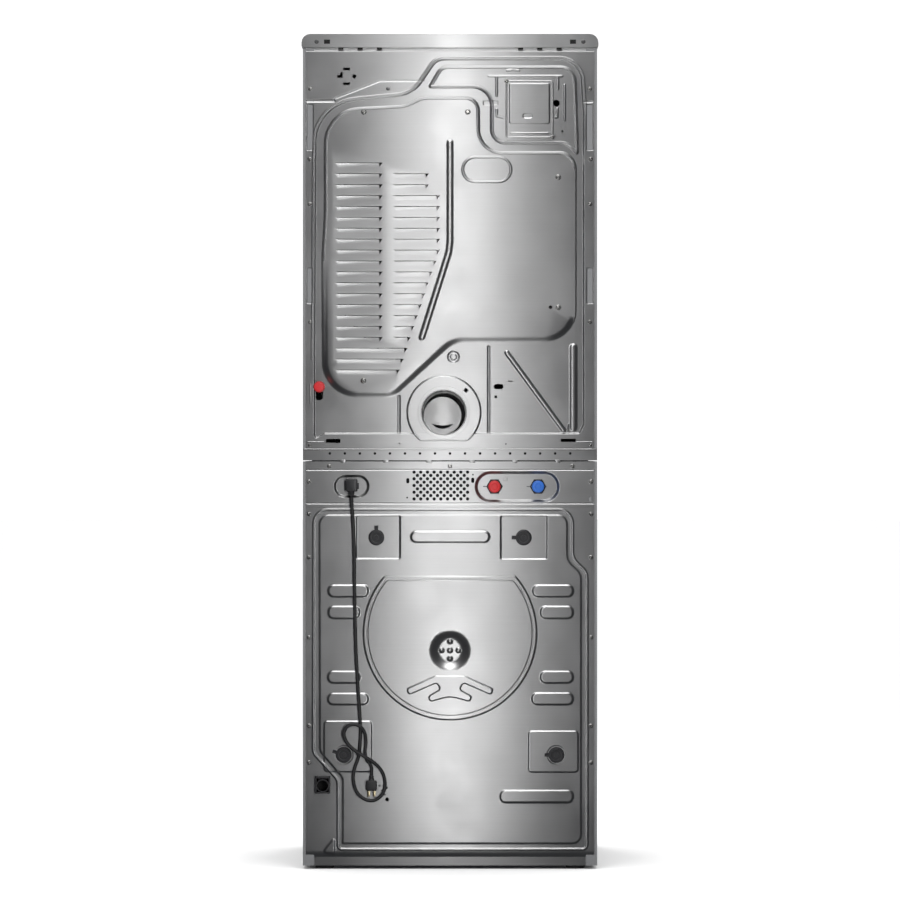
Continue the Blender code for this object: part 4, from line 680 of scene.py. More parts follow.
PORT_Z = 0.8835
VENT_PITCH = 0.01545
bar_forms = [field(stadium(0.186, 0.269, 0.857, 0.911), 0.0060, -0.0080),
             field(stadium(-0.254, -0.057, 0.8465, 0.9195), 0.0075, -0.0080),
             rib([(-0.331, 0.922), (0.331, 0.922)], 0.0022, -0.0009),
             rib([(-0.331, 0.8445), (0.331, 0.8445)], 0.0022, -0.0009),
             field(box_outline(-0.1325, -0.1235, 0.8965, 0.9055, 0.001), 0.0008, 0.0006)]
bar_holes = [ring_outline(x, PORT_Z, 0.0134, 28) for x in (-0.2033, -0.1027)]
bar_holes += [ring_outline(0.2268, 0.885, 0.0080, 16)]
bar_holes += [box_outline(x - 0.0035, x + 0.0035, z - 0.006, z + 0.006, 0.0030, 4)
              for x, z in ((0.0975, 0.897), (-0.0525, 0.898))]
bar_holes += [ring_outline(x, z, 0.0020, 10) for x, z in ((0.099, 0.858), (-0.053, 0.911))]
bar_holes += [box_outline(x - 0.0035, x + 0.0035, 0.8825, 0.8850, 0.0010, 3) for x in (-0.0800, -0.1805)]
bar_holes.append(box_outline(-0.3262, -0.3202, 0.848, 0.861, 0.002, 3))
for row in range(9):
    count, start = (9, 0.083) if row % 2 == 0 else (8, 0.083 - VENT_PITCH / 2)
    bar_holes += [ring_outline(start - VENT_PITCH * i, 0.917 - 0.00775 * row, 0.0039, 14)
                  for i in range(count)]
crossbar = pressing("crossbar", [(-0.333, CROSSBAR[0]), (0.333, CROSSBAR[0]), (0.333, CROSSBAR[1]),
                                 (-0.333, CROSSBAR[1])], bar_forms, bar_holes, REAR_FACE, rear_steel)
place_on(crossbar, "cabinet", "galvanised_steel", "washer_rear_crossbar")

# ---------------------------------------------------------------- stacking bracket
# Folded steel strip that ties the dryer to the washer, with a row of punched holes and small lugs that hook
# into the washer's top edge.  A near-black strip behind its holes and a near-black block behind the crossbar's
# punched vent are painted shade, standing for the shade inside the cabinet seen through the holes.

bracket_holes = [ring_outline(-0.2776 + 0.0347 * i, 0.960, 0.0031, 14) for i in range(17)]
strip = [(-0.3385, 0.9442), (0.3385, 0.9442), (0.3385, 0.9716), (-0.3385, 0.9716)]
bracket = pressing("bracket_strip", strip, [rib([(-0.337, 0.9695), (0.337, 0.9695)], 0.0016, 0.0006)],
                   bracket_holes, REAR_FACE, rear_steel)
place_on(bracket, "cabinet", "galvanised_steel", "stack_bracket")
for i, x in enumerate((0.247, 0.148, 0.0485, -0.051, -0.150, -0.249)):
    lug = rounded_block(x - 0.006, x + 0.006, 0.3838, 0.3858, 0.9385, 0.9455, 0.0009, 3)
    place_on(solid("bracket_lug_%d" % (i + 1), *lug, rear_steel), "cabinet", "galvanised_steel")

# Near-black material used as painted shade: laid behind holes and on the drum walls where shade shows through
# holes.
painted_hole_shade = moulded("painted_hole_shade", (0.006, 0.006, 0.007), 0.7, depth=0.02)
# Painted shade: a dark strip behind the bracket's holes and a dark block behind the crossbar's vent.
bracket_hole_shade_strip = rounded_block(-0.290, 0.290, 0.3826, 0.3834, 0.9540, 0.9660, 0.0003, 1)
grille_hole_shade_block = rounded_block(-0.058, 0.104, 0.3640, 0.3680, 0.8480, 0.9240, 0.0015, 2)
place_on(solid("bracket_felt", *bracket_hole_shade_strip, painted_hole_shade), "cabinet", "galvanised_steel")
place_on(solid("grille_pad", *grille_hole_shade_block, painted_hole_shade), "cabinet", "galvanised_steel")

# ---------------------------------------------------------------- dryer's rear wall
# One drawing of the same steel.  A channel is sunk round the big service panel and the terminal panel, whose
# fields stand proud of it.  Two stacks of lanced louvres let air to the burner side; the duct leaves below.

DUCT_X, DUCT_Z = 0.014, 1.055
GAS_X, GAS_Z = 0.302, 1.114
KNOCKOUT = (-0.246, 1.769)
well = arc_corners([(0.312, 1.768, 0.100), (0.086, 1.792, 0.070), (0.032, 1.872, 0.035), (-0.303, 1.872, 0.052),
                    (-0.3105, 1.749, 0.10), (-0.311, 1.026, 0.02), (-0.300, 1.004, 0.01), (0.289, 1.004, 0.01),
                    (0.308, 0.993, 0.008), (0.3155, 1.000, 0.006), (0.3155, 1.178, 0.05)], 14)
service = arc_corners([(0.292, 1.757, 0.085), (0.106, 1.766, 0.060), (0.064, 1.786, 0.050),
                       (-0.069, 1.786, 0.034), (-0.071, 1.659, 0.050), (-0.293, 1.659, 0.040),
                       (-0.293, 1.217, 0.075), (-0.010, 1.215, 0.060), (0.128, 1.088, 0.055),
                       (0.297, 1.088, 0.085), (0.2975, 1.416, 0.3), (0.292, 1.508, 0.3)], 14)
terminal = arc_corners([(0.054, 1.803, 0.006), (0.022, 1.857, 0.030), (-0.292, 1.857, 0.038),
                        (-0.299, 1.640, 0.006), (-0.270, 1.673, 0.030), (-0.092, 1.673, 0.036),
                        (-0.092, 1.803, 0.040)], 14)
surround = arc(DUCT_X, DUCT_Z, 0.087, np.linspace(-35.8, 215.8, 48))
skirt = arc(DUCT_X, DUCT_Z, 0.087, np.linspace(-50.5, 230.5, 52))
small_fold = arc_corners([(-0.268, 1.010, 0.003), (-0.276, 1.010, 0.002), (-0.276, 1.046, 0.003)])
dryer_forms = [field(well, 0.0045, -0.0050), ("plateau", service, 0.0060, 0.0035, 0.0165, 1.262),
               field(terminal, 0.0035, 0.0060), field(surround, 0.0045, 0.0050),
               rib(shifted(skirt, 0.0022), 0.0018, 0.0008, True),
               rib(shifted(terminal, 0.0062), 0.0026, 0.0014, True)]
for outline, inward, above, rise in ((service, 0.0062, 1.300, 0.0014), (well, -0.0036, 1.150, 0.0011)):
    lip = [p if p[1] > above else None for p in shifted(outline, inward)]
    start = next(i for i, p in enumerate(lip) if p and not lip[i - 1])
    dryer_forms.append(rib([p for p in lip[start:] + lip[:start] if p], 0.0026, rise))
dryer_forms += [rib([(-0.331, 1.8925), (0.331, 1.8925)], 0.0042, -0.0028),
                rib([(0.0, 1.678), (0.0, 1.450), (0.003, 1.425), (0.020, 1.370), (0.065, 1.228)], 0.0085,
                    0.0024),
                rib(stadium(-0.1405, -0.0295, 1.5875, 1.6445), 0.0036, 0.0016, True),
                rib([(0.269, 1.7785), (0.162, 1.8205), (0.061, 1.8205)], 0.0030, -0.0010),
                rib([(0.118, 1.010), (0.118, 1.092)], 0.0042, -0.0020),
                rib([(-0.0895, 1.010), (-0.0895, 1.206)], 0.0042, -0.0020),
                rib([(-0.131, 1.193), (-0.262, 1.014)], 0.0068, 0.0026),
                rib([(-0.285, 1.020), (-0.285, 1.206)], 0.0102, 0.0026),
                field(small_fold, 0.0030, 0.0016),
                field(ring_outline(-0.008, 1.183, 0.0150, 32), 0.0040, -0.0028),
                field(ring_outline(-0.008, 1.183, 0.0085, 24), 0.0030, 0.0020)]
for x0, x1, z0, z1 in ((0.315, 0.332, 1.659, 1.768), (-0.332, -0.314, 1.659, 1.768),
                       (0.316, 0.332, 1.305, 1.390), (-0.332, -0.315, 1.305, 1.390)):
    dryer_forms.append(field(box_outline(x0, x1, z0, z1, 0.004), 0.0030, -0.0018))
dryer_forms += [rib([(0.268, 1.7745), (0.329, 1.7745)], 0.0045, -0.0016),
                rib([(-0.308, 1.7725), (-0.328, 1.7725)], 0.0035, -0.0012)]
for path in ([(-0.090, 1.8315), (-0.258, 1.8315)], [(-0.1075, 1.786), (-0.1075, 1.827)],
             [(-0.1075, 1.754), (-0.1075, 1.739), (-0.123, 1.735), (-0.133, 1.727), (-0.133, 1.686)],
             [(-0.249, 1.802), (-0.249, 1.827)],
             [(-0.248, 1.756), (-0.248, 1.737), (-0.230, 1.733), (-0.229, 1.696)],
             [(-0.2645, 1.730), (-0.2645, 1.811)], [(-0.132, 1.8445), (-0.145, 1.8470), (-0.159, 1.8445)]):
    dryer_forms.append(rib(path, 0.0036, 0.0013))
dryer_forms.append(field(box_outline(-0.112, -0.076, 1.764, 1.776, 0.003), 0.0022, -0.0012))

dryer_holes = [ring_outline(x, z, r, n) for x, z, r, n in (
    (DUCT_X, DUCT_Z, 0.0530, 64), (-0.232, 1.298, 0.0040, 12), (*KNOCKOUT, 0.0078, 20),
    (-0.260, 1.704, 0.0026, 10), (0.221, 1.831, 0.0046, 14), (0.117, 0.983, 0.0022, 10),
    (-0.129, 0.982, 0.0022, 10))]
dryer_holes += [box_outline(x0, x1, z0, z1, r, 3) for x0, x1, z0, z1, r in (
    (0.231, 0.247, 1.845, 1.851, 0.0004), (0.231, 0.247, 1.811, 1.817, 0.0004),
    (0.253, 0.287, 0.9845, 0.9935, 0.002), (-0.291, -0.256, 0.9865, 0.9940, 0.002),
    (-0.1236, -0.101, 1.1086, 1.1205, 0.0058), (-0.145, -0.134, 1.1258, 1.1282, 0.001),
    (-0.109, -0.103, 1.088, 1.094, 0.001))]
dryer_holes += [[(0.248, 1.828), (0.2605, 1.828), (0.2605, 1.834), (0.2535, 1.834), (0.2535, 1.841),
                 (0.248, 1.841)], ring_outline(-0.037, 1.106, 0.0064, 4),
                arc(GAS_X, GAS_Z, 0.0132, range(-50, 231, 10)) + [
                    (0.2935, 1.088), (0.2975, 1.083), (0.3065, 1.083), (0.3105, 1.088)]]
LOUVRE_TOP, LOUVRE_PITCH, LOUVRE_TALL = 1.632, 0.02518, 0.0125
LOUVRE_GAP, LOUVRE_END, LOUVRE_DEEP = 0.0014, 0.0080, 0.0021
OUTER_STACK, INNER_STACK = 0.267, 0.133        # where the two stacks of louvres begin
outer_ends = [0.156] * 17 + [0.098, 0.107, 0.116]
inner_ends = [0.049] * 2 + [0.023] * 6 + [0.031, 0.040, 0.049, 0.057, 0.065, 0.074, 0.082, 0.091]
louvres = [(end, OUTER_STACK, i) for i, end in enumerate(outer_ends)]
louvres += [(end, INNER_STACK, i + 1) for i, end in enumerate(inner_ends)]
for x0, x1, i in louvres:
    top = LOUVRE_TOP - LOUVRE_PITCH * i
    a, b = (x0, top), (x1, top)
    c, d = (x1 - LOUVRE_END, top - LOUVRE_TALL), (x0 + LOUVRE_END, top - LOUVRE_TALL)
    sizes = (x0, x1, top, LOUVRE_END, LOUVRE_TALL, LOUVRE_GAP, LOUVRE_DEEP)
    dryer_forms.append(("louvre", [a, b, c, d], sizes))
    dryer_holes.append([a, b, (x1 - LOUVRE_END, top - LOUVRE_GAP), (x0 + LOUVRE_END, top - LOUVRE_GAP),
                        (x0 + LOUVRE_END * 0.86, top - 0.0098)])
blank = [(-0.333, 0.9724), (0.333, 0.9724), (0.333, 1.8976), (-0.333, 1.8976)]
dryer_rear = pressing("dryer_rear_wall", blank, dryer_forms, dryer_holes, REAR_FACE, rear_steel, angle=25)
place_on(dryer_rear, "cabinet", "galvanised_steel", "dryer_rear_panel")

# ---------------------------------------------------------------- terminal cover
# Small steel plate screwed over the wiring terminals, with a pressed rim, a raised middle and a notch beside
# the round hole for the supply cable.

plate = box_outline(-0.2428, -0.1242, 1.6842, 1.8258, 0.006, 4)
side = max(range(len(plate)), key=lambda i: math.dist(plate[i], plate[i - 1]) if plate[i][0] < -0.242 else 0)
plate[side:side] = arc(*KNOCKOUT, 0.0088, range(65, -66, -10))
cover = pressing("terminal_plate", plate,
                 [field(box_outline(-0.231, -0.136, 1.720, 1.816, 0.006), 0.0030, 0.0014),
                  rib(box_outline(-0.237, -0.130, 1.690, 1.820, 0.006), 0.0022, 0.0008, True),
                  field(stadium(-0.192, -0.167, 1.733, 1.746), 0.0030, -0.0012),
                  rib([(-0.226, 1.700), (-0.141, 1.700)], 0.0026, 0.0010)],
                 [box_outline(-0.2135, -0.2065, 1.7985, 1.8055, 0.0025, 3)], 0.3890, rear_steel)
place_on(cover, "cabinet", "galvanised_steel", "terminal_cover")

# ---------------------------------------------------------------- screws of the rear wall
# Zinc-plated Phillips pan-head screws, each turned to its own angle.

zinc = sheet_steel("zinc_plate", tone=0.62, roughness=0.27, along="Z", tint=(1.0, 0.99, 0.96))
dull_zinc = sheet_steel("dull_zinc", tone=0.30, roughness=0.38, along="Z")
cross = [(0.0005, 0.0005), (0.0005, 0.0022), (-0.0005, 0.0022), (-0.0005, 0.0005), (-0.0022, 0.0005),
         (-0.0022, -0.0005), (-0.0005, -0.0005), (-0.0005, -0.0022), (0.0005, -0.0022), (0.0005, -0.0005),
         (0.0022, -0.0005), (0.0022, 0.0005)]


def screw_head(name, radius, material):
    """Pan head with a cross recess, its seat at the origin and facing +Y."""
    size = radius / 0.0042
    return pressing(name, ring_outline(0, 0, radius, 24),
                    [field(ring_outline(0, 0, radius * 0.99, 24), radius * 0.5, radius * 0.40),
                     field([(x * size, z * size) for x, z in cross], 0.0003, -0.0012)], [], 0.0, material)


head_shape = screw_head("screw_head", 0.0066, zinc)
small_head = screw_head("small_screw_head", 0.0050, zinc)


def repeated(name, places, shape, material, body, material_slot, spin=True, axis="Y", seed=3, replaced=()):
    """Copies of one shape at the places, made by a node tree and then kept as one plain mesh."""
    mesh = bpy.data.meshes.new(name)
    mesh.from_pydata([tuple(p) for p in places], [], [])
    piece = linked(name, mesh)
    tree = bpy.data.node_groups.new(name + "_nodes", "GeometryNodeTree")
    for label, kind, way in (("Geometry", "Geometry", "INPUT"), ("Geometry", "Geometry", "OUTPUT"),
                             ("Shape", "Object", "INPUT"), ("Largest Turn", "Float", "INPUT"),
                             ("Seed", "Int", "INPUT"), ("Material", "Material", "INPUT")):
        tree.interface.new_socket(name=label, in_out=way, socket_type="NodeSocket" + kind)
    ids = {item.name: item.identifier for item in tree.interface.items_tree if item.in_out == "INPUT"}
    enter, leave = tree.nodes.new("NodeGroupInput"), tree.nodes.new("NodeGroupOutput")
    points = tree.nodes.new("GeometryNodeMeshToPoints")
    model = tree.nodes.new("GeometryNodeObjectInfo")
    chance = tree.nodes.new("FunctionNodeRandomValue")
    chance.data_type = "FLOAT"
    chance.inputs[2].default_value = 0.0
    turn = tree.nodes.new("ShaderNodeCombineXYZ")
    spread = tree.nodes.new("GeometryNodeInstanceOnPoints")
    real = tree.nodes.new("GeometryNodeRealizeInstances")
    coat = tree.nodes.new("GeometryNodeSetMaterial")
    wire(tree, (enter.outputs["Geometry"], points, "Mesh"), (enter.outputs["Shape"], model, "Object"),
         (enter.outputs["Largest Turn"], chance, 3), (enter.outputs["Seed"], chance, "Seed"),
         (chance.outputs[1], turn, axis), (points, spread, "Points"),
         (model.outputs["Geometry"], spread, "Instance"), (turn, spread, "Rotation"),
         (spread, real, "Geometry"), (real, coat, "Geometry"),
         (enter.outputs["Material"], coat, "Material"), (coat, leave, "Geometry"))
    copies = piece.modifiers.new("copies", "NODES")
    copies.node_group = tree
    copies[ids["Shape"]] = shape
    copies[ids["Largest Turn"]] = 2 * math.pi if spin else 0.0
    copies[ids["Seed"]] = seed
    copies[ids["Material"]] = material
    piece.data = bpy.data.meshes.new_from_object(piece.evaluated_get(bpy.context.evaluated_depsgraph_get()))
    piece.modifiers.clear()
    piece.data.materials.clear()
    piece.data.materials.append(material)
    return place_on(piece, body, material_slot, *replaced)


def used_up(shape):
    """Take a pattern shape or a cutting tool out of the scene once it has done its work."""
    bpy.data.objects.remove(shape, do_unlink=True)


field_screws = [(x, 0.3862, z) for x, z in ((0.199, 1.749), (-0.041, 1.749), (-0.250, 1.598), (-0.250, 1.297),
                                            (0.200, 1.128))]
edge_screws = [(x, 0.3852, z) for x, z in (
    (0.323, 1.802), (-0.323, 1.802), (0.324, 1.640), (-0.325, 1.640), (0.324, 1.536), (-0.324, 1.536),
    (0.323, 1.264), (-0.323, 1.264), (0.325, 0.979), (-0.325, 0.979), (0.279, 0.9305), (-0.283, 0.9305),
    (0.0, 0.9305))]
edge_screws += [(x, 0.3852, z) for z in (0.895, 0.820, 0.720, 0.535, 0.331, 0.246) for x in (0.326, -0.326)]
edge_screws += [(x, 0.3802, 0.021) for x in (-0.326, 0.326)]
repeated("field_screws", field_screws, head_shape, zinc, "cabinet", "galvanised_steel")
repeated("edge_screws", edge_screws, small_head, zinc, "cabinet", "galvanised_steel", seed=4)
repeated("cover_screws", [(-0.1305, 0.3898, 1.8200), (-0.2365, 0.3898, 1.6905)], small_head, zinc, "cabinet",
         "galvanised_steel", seed=5)
repeated("lid_screws", [(0.308, 0.3881, 1.911), (-0.308, 0.3881, 1.911)], small_head, dull_zinc, "cabinet",
         "silver_paint", seed=8)
used_up(head_shape)
used_up(small_head)
button = lathe([(0, 0.3888), (0.0030, 0.3886), (0.0042, 0.3878), (0.0046, 0.3864), (0.0046, 0.3846),
                (0, 0.3846)], 24, (0.143, 0, 1.803))
place_on(solid("panel_button", *button, dull_zinc), "cabinet", "galvanised_steel")

# ---------------------------------------------------------------- exhaust duct
# Round 4 inch duct of galvanised sheet from the blower out through the rear wall.  A flange holds it, its end
# is beaded, its seam is a ridge inside, and a shaped baffle closes most of its inner end.

duct_profile = [(0.0508, -0.1880), (0.0520, -0.1880), (0.0520, 0.3854), (0.0605, 0.3854), (0.0614, 0.3860),
                (0.0612, 0.3871), (0.0530, 0.3872), (0.0521, 0.3880), (0.0520, 0.3900), (0.0527, 0.3918),
                (0.0520, 0.3936), (0.0520, 0.3990), (0.0517, 0.3998), (0.0511, 0.3998), (0.0508, 0.3990),
                (0.0508, 0.3936), (0.0514, 0.3918), (0.0508, 0.3900)]
duct_steel = sheet_steel("duct_steel", tone=0.55, roughness=0.30, along="Y")
seam = rounded_block(DUCT_X - 0.0040, DUCT_X + 0.0040, -0.180, REAR_FACE, DUCT_Z + 0.0498, DUCT_Z + 0.0514,
                     0.0004, 1)
duct = solid("exhaust_tube", *merge(lathe(duct_profile, 96, (DUCT_X, 0, DUCT_Z)), seam), duct_steel)
place_on(duct, "cabinet", "galvanised_steel", "exhaust_duct")
soft_light("duct_fill", (DUCT_X, 0.05, 1.058), (DUCT_X, -0.19, 1.045), 0.04, 0.04, 0.0011)
throat = (0.0180, 1.0510)
smile = arc(*throat, 0.0320, range(218, 323, 4))
smile += [(throat[0] + 0.0235 * t, throat[1] - 0.0235 + 0.0040 * t * t) for t in np.linspace(0.95, -0.95, 17)]
baffle = pressing("duct_baffle", ring_outline(*throat, 0.0455, 64),
                  [field(ring_outline(*throat, 0.0440, 64), 0.0300, 0.0006)], [smile], -0.1873, duct_steel)
place_on(baffle, "cabinet", "galvanised_steel")

# ---------------------------------------------------------------- gas inlet
# Steel pipe with a red plastic dust cap pushed over its end, and the small hooked bracket beside its hole.

red_plastic = moulded("red_plastic", (0.40, 0.005, 0.008), 0.42, coat=0.1)
gas_profile = [(0, 0.3984), (0.0085, 0.3984), (0.0100, 0.3979), (0.0106, 0.3968), (0.0108, 0.3885),
               (0.0128, 0.3880), (0.0130, 0.3870), (0.0130, 0.3860), (0.0111, 0.3860), (0.0111, 0.3955),
               (0, 0.3955)]


def grip_ribs(x, z, radius, half, y0, y1):
    """Small upright ribs round a cap, to hold it by."""
    return [rounded_block(u - half, u + half, y0, y1, w - half, w + half, 0.0002, 1)
            for u, w in ring_outline(x, z, radius, 24)]


ribs = grip_ribs(GAS_X, GAS_Z, 0.0107, 0.0005, 0.3883, 0.3965)
gas_cap = solid("gas_dust_cap", *merge(lathe(gas_profile, 48, (GAS_X, 0, GAS_Z)), *ribs), red_plastic)
place_on(gas_cap, "gas_cap_body", "red_plastic", "gas_cap")
hook = pressing("gas_bracket", box_outline(0.3185, 0.3310, 1.073, 1.123, 0.002, 3),
                [rib([(0.3225, 1.076), (0.3225, 1.120)], 0.0016, 0.0007)],
                [ring_outline(0.3255, 1.112, 0.0026, 12), box_outline(0.3235, 0.3275, 1.085, 1.097, 0.001, 2)],
                0.3864, rear_steel)
place_on(hook, "cabinet", "galvanised_steel")

# ---------------------------------------------------------------- water inlet caps
# Soft plastic dust caps on the valve's threads: red for hot, blue for cold.  Black hexagonal collars of the
# valve show behind them.

blue_plastic = moulded("blue_plastic", (0.006, 0.085, 0.36), 0.42, coat=0.1)
cap_profile = [(0, 0.3930), (0.0060, 0.3930), (0.0072, 0.3944), (0.0118, 0.3944), (0.0132, 0.3936),
               (0.0138, 0.3920), (0.0140, 0.3800), (0.0149, 0.3792), (0.0149, 0.3772), (0.0131, 0.3772),
               (0.0131, 0.3914), (0, 0.3914)]
collar_profile = [(0.0152, 0.3745), (0.0186, 0.3745), (0.0190, 0.3755), (0.0190, 0.3800), (0.0182, 0.3810),
                  (0.0152, 0.3810)]
for word, x, colour, plastic in (("hot", -0.1027, red_plastic, "red_plastic"),
                                 ("cold", -0.2033, blue_plastic, "blue_plastic")):
    ribs = grip_ribs(x, PORT_Z, 0.0139, 0.0006, 0.3805, 0.3918)
    cap = solid(word + "_dust_cap", *merge(lathe(cap_profile, 56, (x, 0, PORT_Z)), *ribs), colour)
    place_on(cap, word + "_cap_body", plastic, word + "_cap")
    collar_ring = solid(word + "_collar", *lathe(collar_profile, 6, (x, 0, PORT_Z)), black_plastic, 20)
    place_on(collar_ring, "cabinet", "valve_body")

# ---------------------------------------------------------------- transit bolts
# Four black plastic caps with finger tabs on long bolts that hold the washer's tub still in transport.

hexagon_key = ring_outline(0, 0, 0.0066, 6, math.pi / 6)
CAP_RADIUS, TAB_END, TAB_HALF, CAP_FACE = 0.0184, 0.0275, 0.0044, 0.3888
shank_profile = [(0, 0.2852), (0.0052, 0.2852), (0.0066, 0.2870), (0.0068, 0.3200), (0.0069, 0.3878),
                 (0, 0.3878)]
for i, ((x, z), tab) in enumerate(zip(BOLTS, ((0.0, 1.0), (1.0, 0.0), (1.0, 0.35), (1.0, 0.0)))):
    number = str(i + 1)
    way = Vector(tab).normalized()
    side = Vector((-way.y, way.x))
    start = math.atan2(way.y, way.x)
    round_edge = [Vector((math.cos(start - a), math.sin(start - a))) * CAP_RADIUS
                  for a in np.linspace(0.24, 2 * math.pi - 0.24, 52)]
    tab_corners = [way * TAB_END + side * TAB_HALF, way * TAB_END - side * TAB_HALF]
    outline = [(x + p.x, z + p.y) for p in tab_corners + round_edge]
    tab_groove = [(x + way.x * far, z + way.y * far) for far in (0.0200, 0.0250)]
    cap = pressing("transit_cap_" + number, outline,
                   [field(outline, 0.0012, 0.0030), field(ring_outline(x, z, 0.0168, 36), 0.0016, 0.0034),
                    field(ring_outline(x, z, 0.0118, 30), 0.0010, -0.0022),
                    field([(x + a, z + b) for a, b in hexagon_key], 0.0006, 0.0018),
                    rib(tab_groove, 0.0016, -0.0016)], [], CAP_FACE, black_plastic)
    shank = solid("transit_shank_" + number, *lathe(shank_profile, 24, (x, 0, z)), black_plastic)
    place_on(cap, "transit_bolt_%s_body" % number, "black_plastic", "transit_bolt_" + number)
    place_on(shank, "transit_bolt_%s_body" % number, "black_plastic")

# ---------------------------------------------------------------- drain outlet
# Black moulded box set in the washer's corner, with a round socket for the hose and ribs round its rim.

DRAIN_X, DRAIN_Z = 0.294, 0.193
drain_parts = [
    lathe([(0.0128, 0.3965), (0.0148, 0.3965), (0.0152, 0.3958), (0.0152, 0.3450), (0.0128, 0.3450)], 48,
          (DRAIN_X, 0, DRAIN_Z))]
for x0, x1, z0, z1 in ((0.2768, 0.2800, 0.1752, 0.2148), (0.3080, 0.3112, 0.1752, 0.2148),
                       (0.2768, 0.3112, 0.1752, 0.1782), (0.2768, 0.3112, 0.2100, 0.2148)):
    drain_parts.append(rounded_block(x0, x1, 0.3420, 0.3958, z0, z1, 0.0012, 3))
drain_parts.append(rounded_block(0.2790, 0.3090, 0.3400, 0.3450, 0.1770, 0.2130, 0.0008, 2))
for dx in (-0.0085, 0.0, 0.0085):
    x = DRAIN_X + dx
    drain_parts.append(rounded_block(x - 0.0008, x + 0.0008, 0.3440, 0.3950, 0.2072, 0.2110, 0.0003, 1))
drain = solid("drain_socket", *merge(*drain_parts), black_plastic)
place_on(drain, "cabinet", "black_plastic", "drain_outlet")

# ---------------------------------------------------------------- lid and corner plates
# Folded steel lid over the dryer, fixed through two slotted screw holes in its rear flange; the slots and six
# narrow gaps under the flange are near-black blocks of painted shade.  Small steel plates stiffen the lower
# corners of the dryer's back.

lid_steel = sheet_steel("lid_steel", tone=0.66, roughness=0.34, along="X")
nodes["dryer_top"].data.materials[0] = lid_steel
# Near-black material used as painted shade in the lid's two slots and in the six gaps under its flange.
painted_slot_shade = moulded("painted_slot_shade", (0.004, 0.004, 0.004), 0.7, depth=0.02)
slot_shades = [rounded_block(x - 0.007, x + 0.007, 0.3874, 0.3882, 1.906, 1.916, 0.0003, 2) for x in (0.284, -0.284)]
slot_shades += [rounded_block(x - 0.006, x + 0.006, 0.3853, 0.3858, 1.8925, 1.8972, 0.0002, 1)
          for x in (0.252, 0.2075, 0.163, -0.163, -0.2075, -0.252)]
place_on(solid("lid_slots", *merge(*slot_shades), painted_slot_shade), "cabinet", "silver_paint")
for side, word in ((1, "left"), (-1, "right")):
    x0, x1 = sorted((side * 0.290, side * 0.331))
    plate = pressing("corner_plate_" + word, [(x0, 0.9730), (x1, 0.9730), (x1, 0.9895), (x0, 0.9895)],
                     [rib([(x0 + 0.003, 0.9865), (x1 - 0.003, 0.9865)], 0.0014, 0.0005)],
                     [ring_outline(side * 0.325, 0.979, 0.0020, 10)], 0.3861, rear_steel)
    place_on(plate, "cabinet", "galvanised_steel")

# ---------------------------------------------------------------- cabinet sides and front panels
# Sheet steel sprayed with silver metallic enamel: fine flakes under a clear coat with a faint orange peel.

enamel, tree, shader, place = finish("silver_enamel")
shader.inputs["Metallic"].default_value = 0.72
shader.inputs["Coat Weight"].default_value = 0.45
shader.inputs["Coat Roughness"].default_value = 0.06
flake = node(tree, "ShaderNodeTexVoronoi", Scale=1400.0)
tint = shades(tree, (0.34, 0.345, 0.355), (0.50, 0.505, 0.515))
peel = node(tree, "ShaderNodeTexNoise", Scale=160.0)
sheen = node(tree, "ShaderNodeMapRange", To_Min=0.27, To_Max=0.36)
bump = node(tree, "ShaderNodeBump", Strength=0.05, Distance=0.0003)
wire(tree, (place, flake, "Vector"), (place, peel, "Vector"), (flake, tint, "Fac"),
     (tint, shader, "Base Color"), (peel, sheen, "Value"), (sheen, shader, "Roughness"), (peel, bump, "Height"),
     (bump, shader, "Normal"))


def coat_nodes(material, *names):
    """Give CAD pieces that are shown as they are their material."""
    for name in names:
        nodes[name].data.materials[0] = material


coat_nodes(enamel, "washer_side_left", "washer_side_right", "dryer_side_left", "dryer_side_right",
           "washer_front_panel", "dryer_front_panel", "washer_hinge", "dryer_hinge")

# ---------------------------------------------------------------- levelling feet
# Rubber pads on threaded steel stems, each with a thin lock nut under the base.

foot_rubber = moulded("foot_rubber", (0.030, 0.030, 0.032), 0.65, grain=700, depth=0.12)
stem_steel = sheet_steel("stem_steel", tone=0.55, roughness=0.30, along="Z")
pad_profile = [(0, 0.0), (0.0205, 0.0), (0.0218, 0.0006), (0.0219, 0.0036), (0.0212, 0.0050), (0.0190, 0.0062),
               (0.0090, 0.0066), (0, 0.0066)]
thread_profile = [(0.0, 0.0064)] + [(0.0049 - 0.0006 * (k % 2), 0.0064 + 0.0007 * k) for k in range(51)]
thread_profile += [(0.0, 0.0420)]
nut_profile = [(0.0040, 0.0068), (0.0078, 0.0068), (0.0080, 0.0072), (0.0080, 0.0076), (0.0078, 0.0079),
               (0.0040, 0.0079)]
for i, (x, y) in enumerate(((-0.290, -0.280), (0.290, -0.280), (-0.290, 0.335), (0.290, 0.335))):
    number, at = str(i + 1), (x, y, 0)
    foot_pad = solid("foot_pad_" + number, *lathe(pad_profile, 48, at, "Z"), foot_rubber)
    place_on(foot_pad, "foot_%s_body" % number, "grey_rubber", "foot_" + number)
    stem = merge(lathe(thread_profile, 20, at, "Z"), lathe(nut_profile, 6, at, "Z"))
    place_on(solid("foot_stem_" + number, *stem, stem_steel, 40), "foot_%s_body" % number, "grey_rubber")

# ---------------------------------------------------------------- doors
# Round doors of silver-grey moulded plastic with a bright trim ring, a hand pocket on the free side, a hinge
# knuckle on the other, and a dished glass.  The washer's bowl is deeper than the dryer's window.

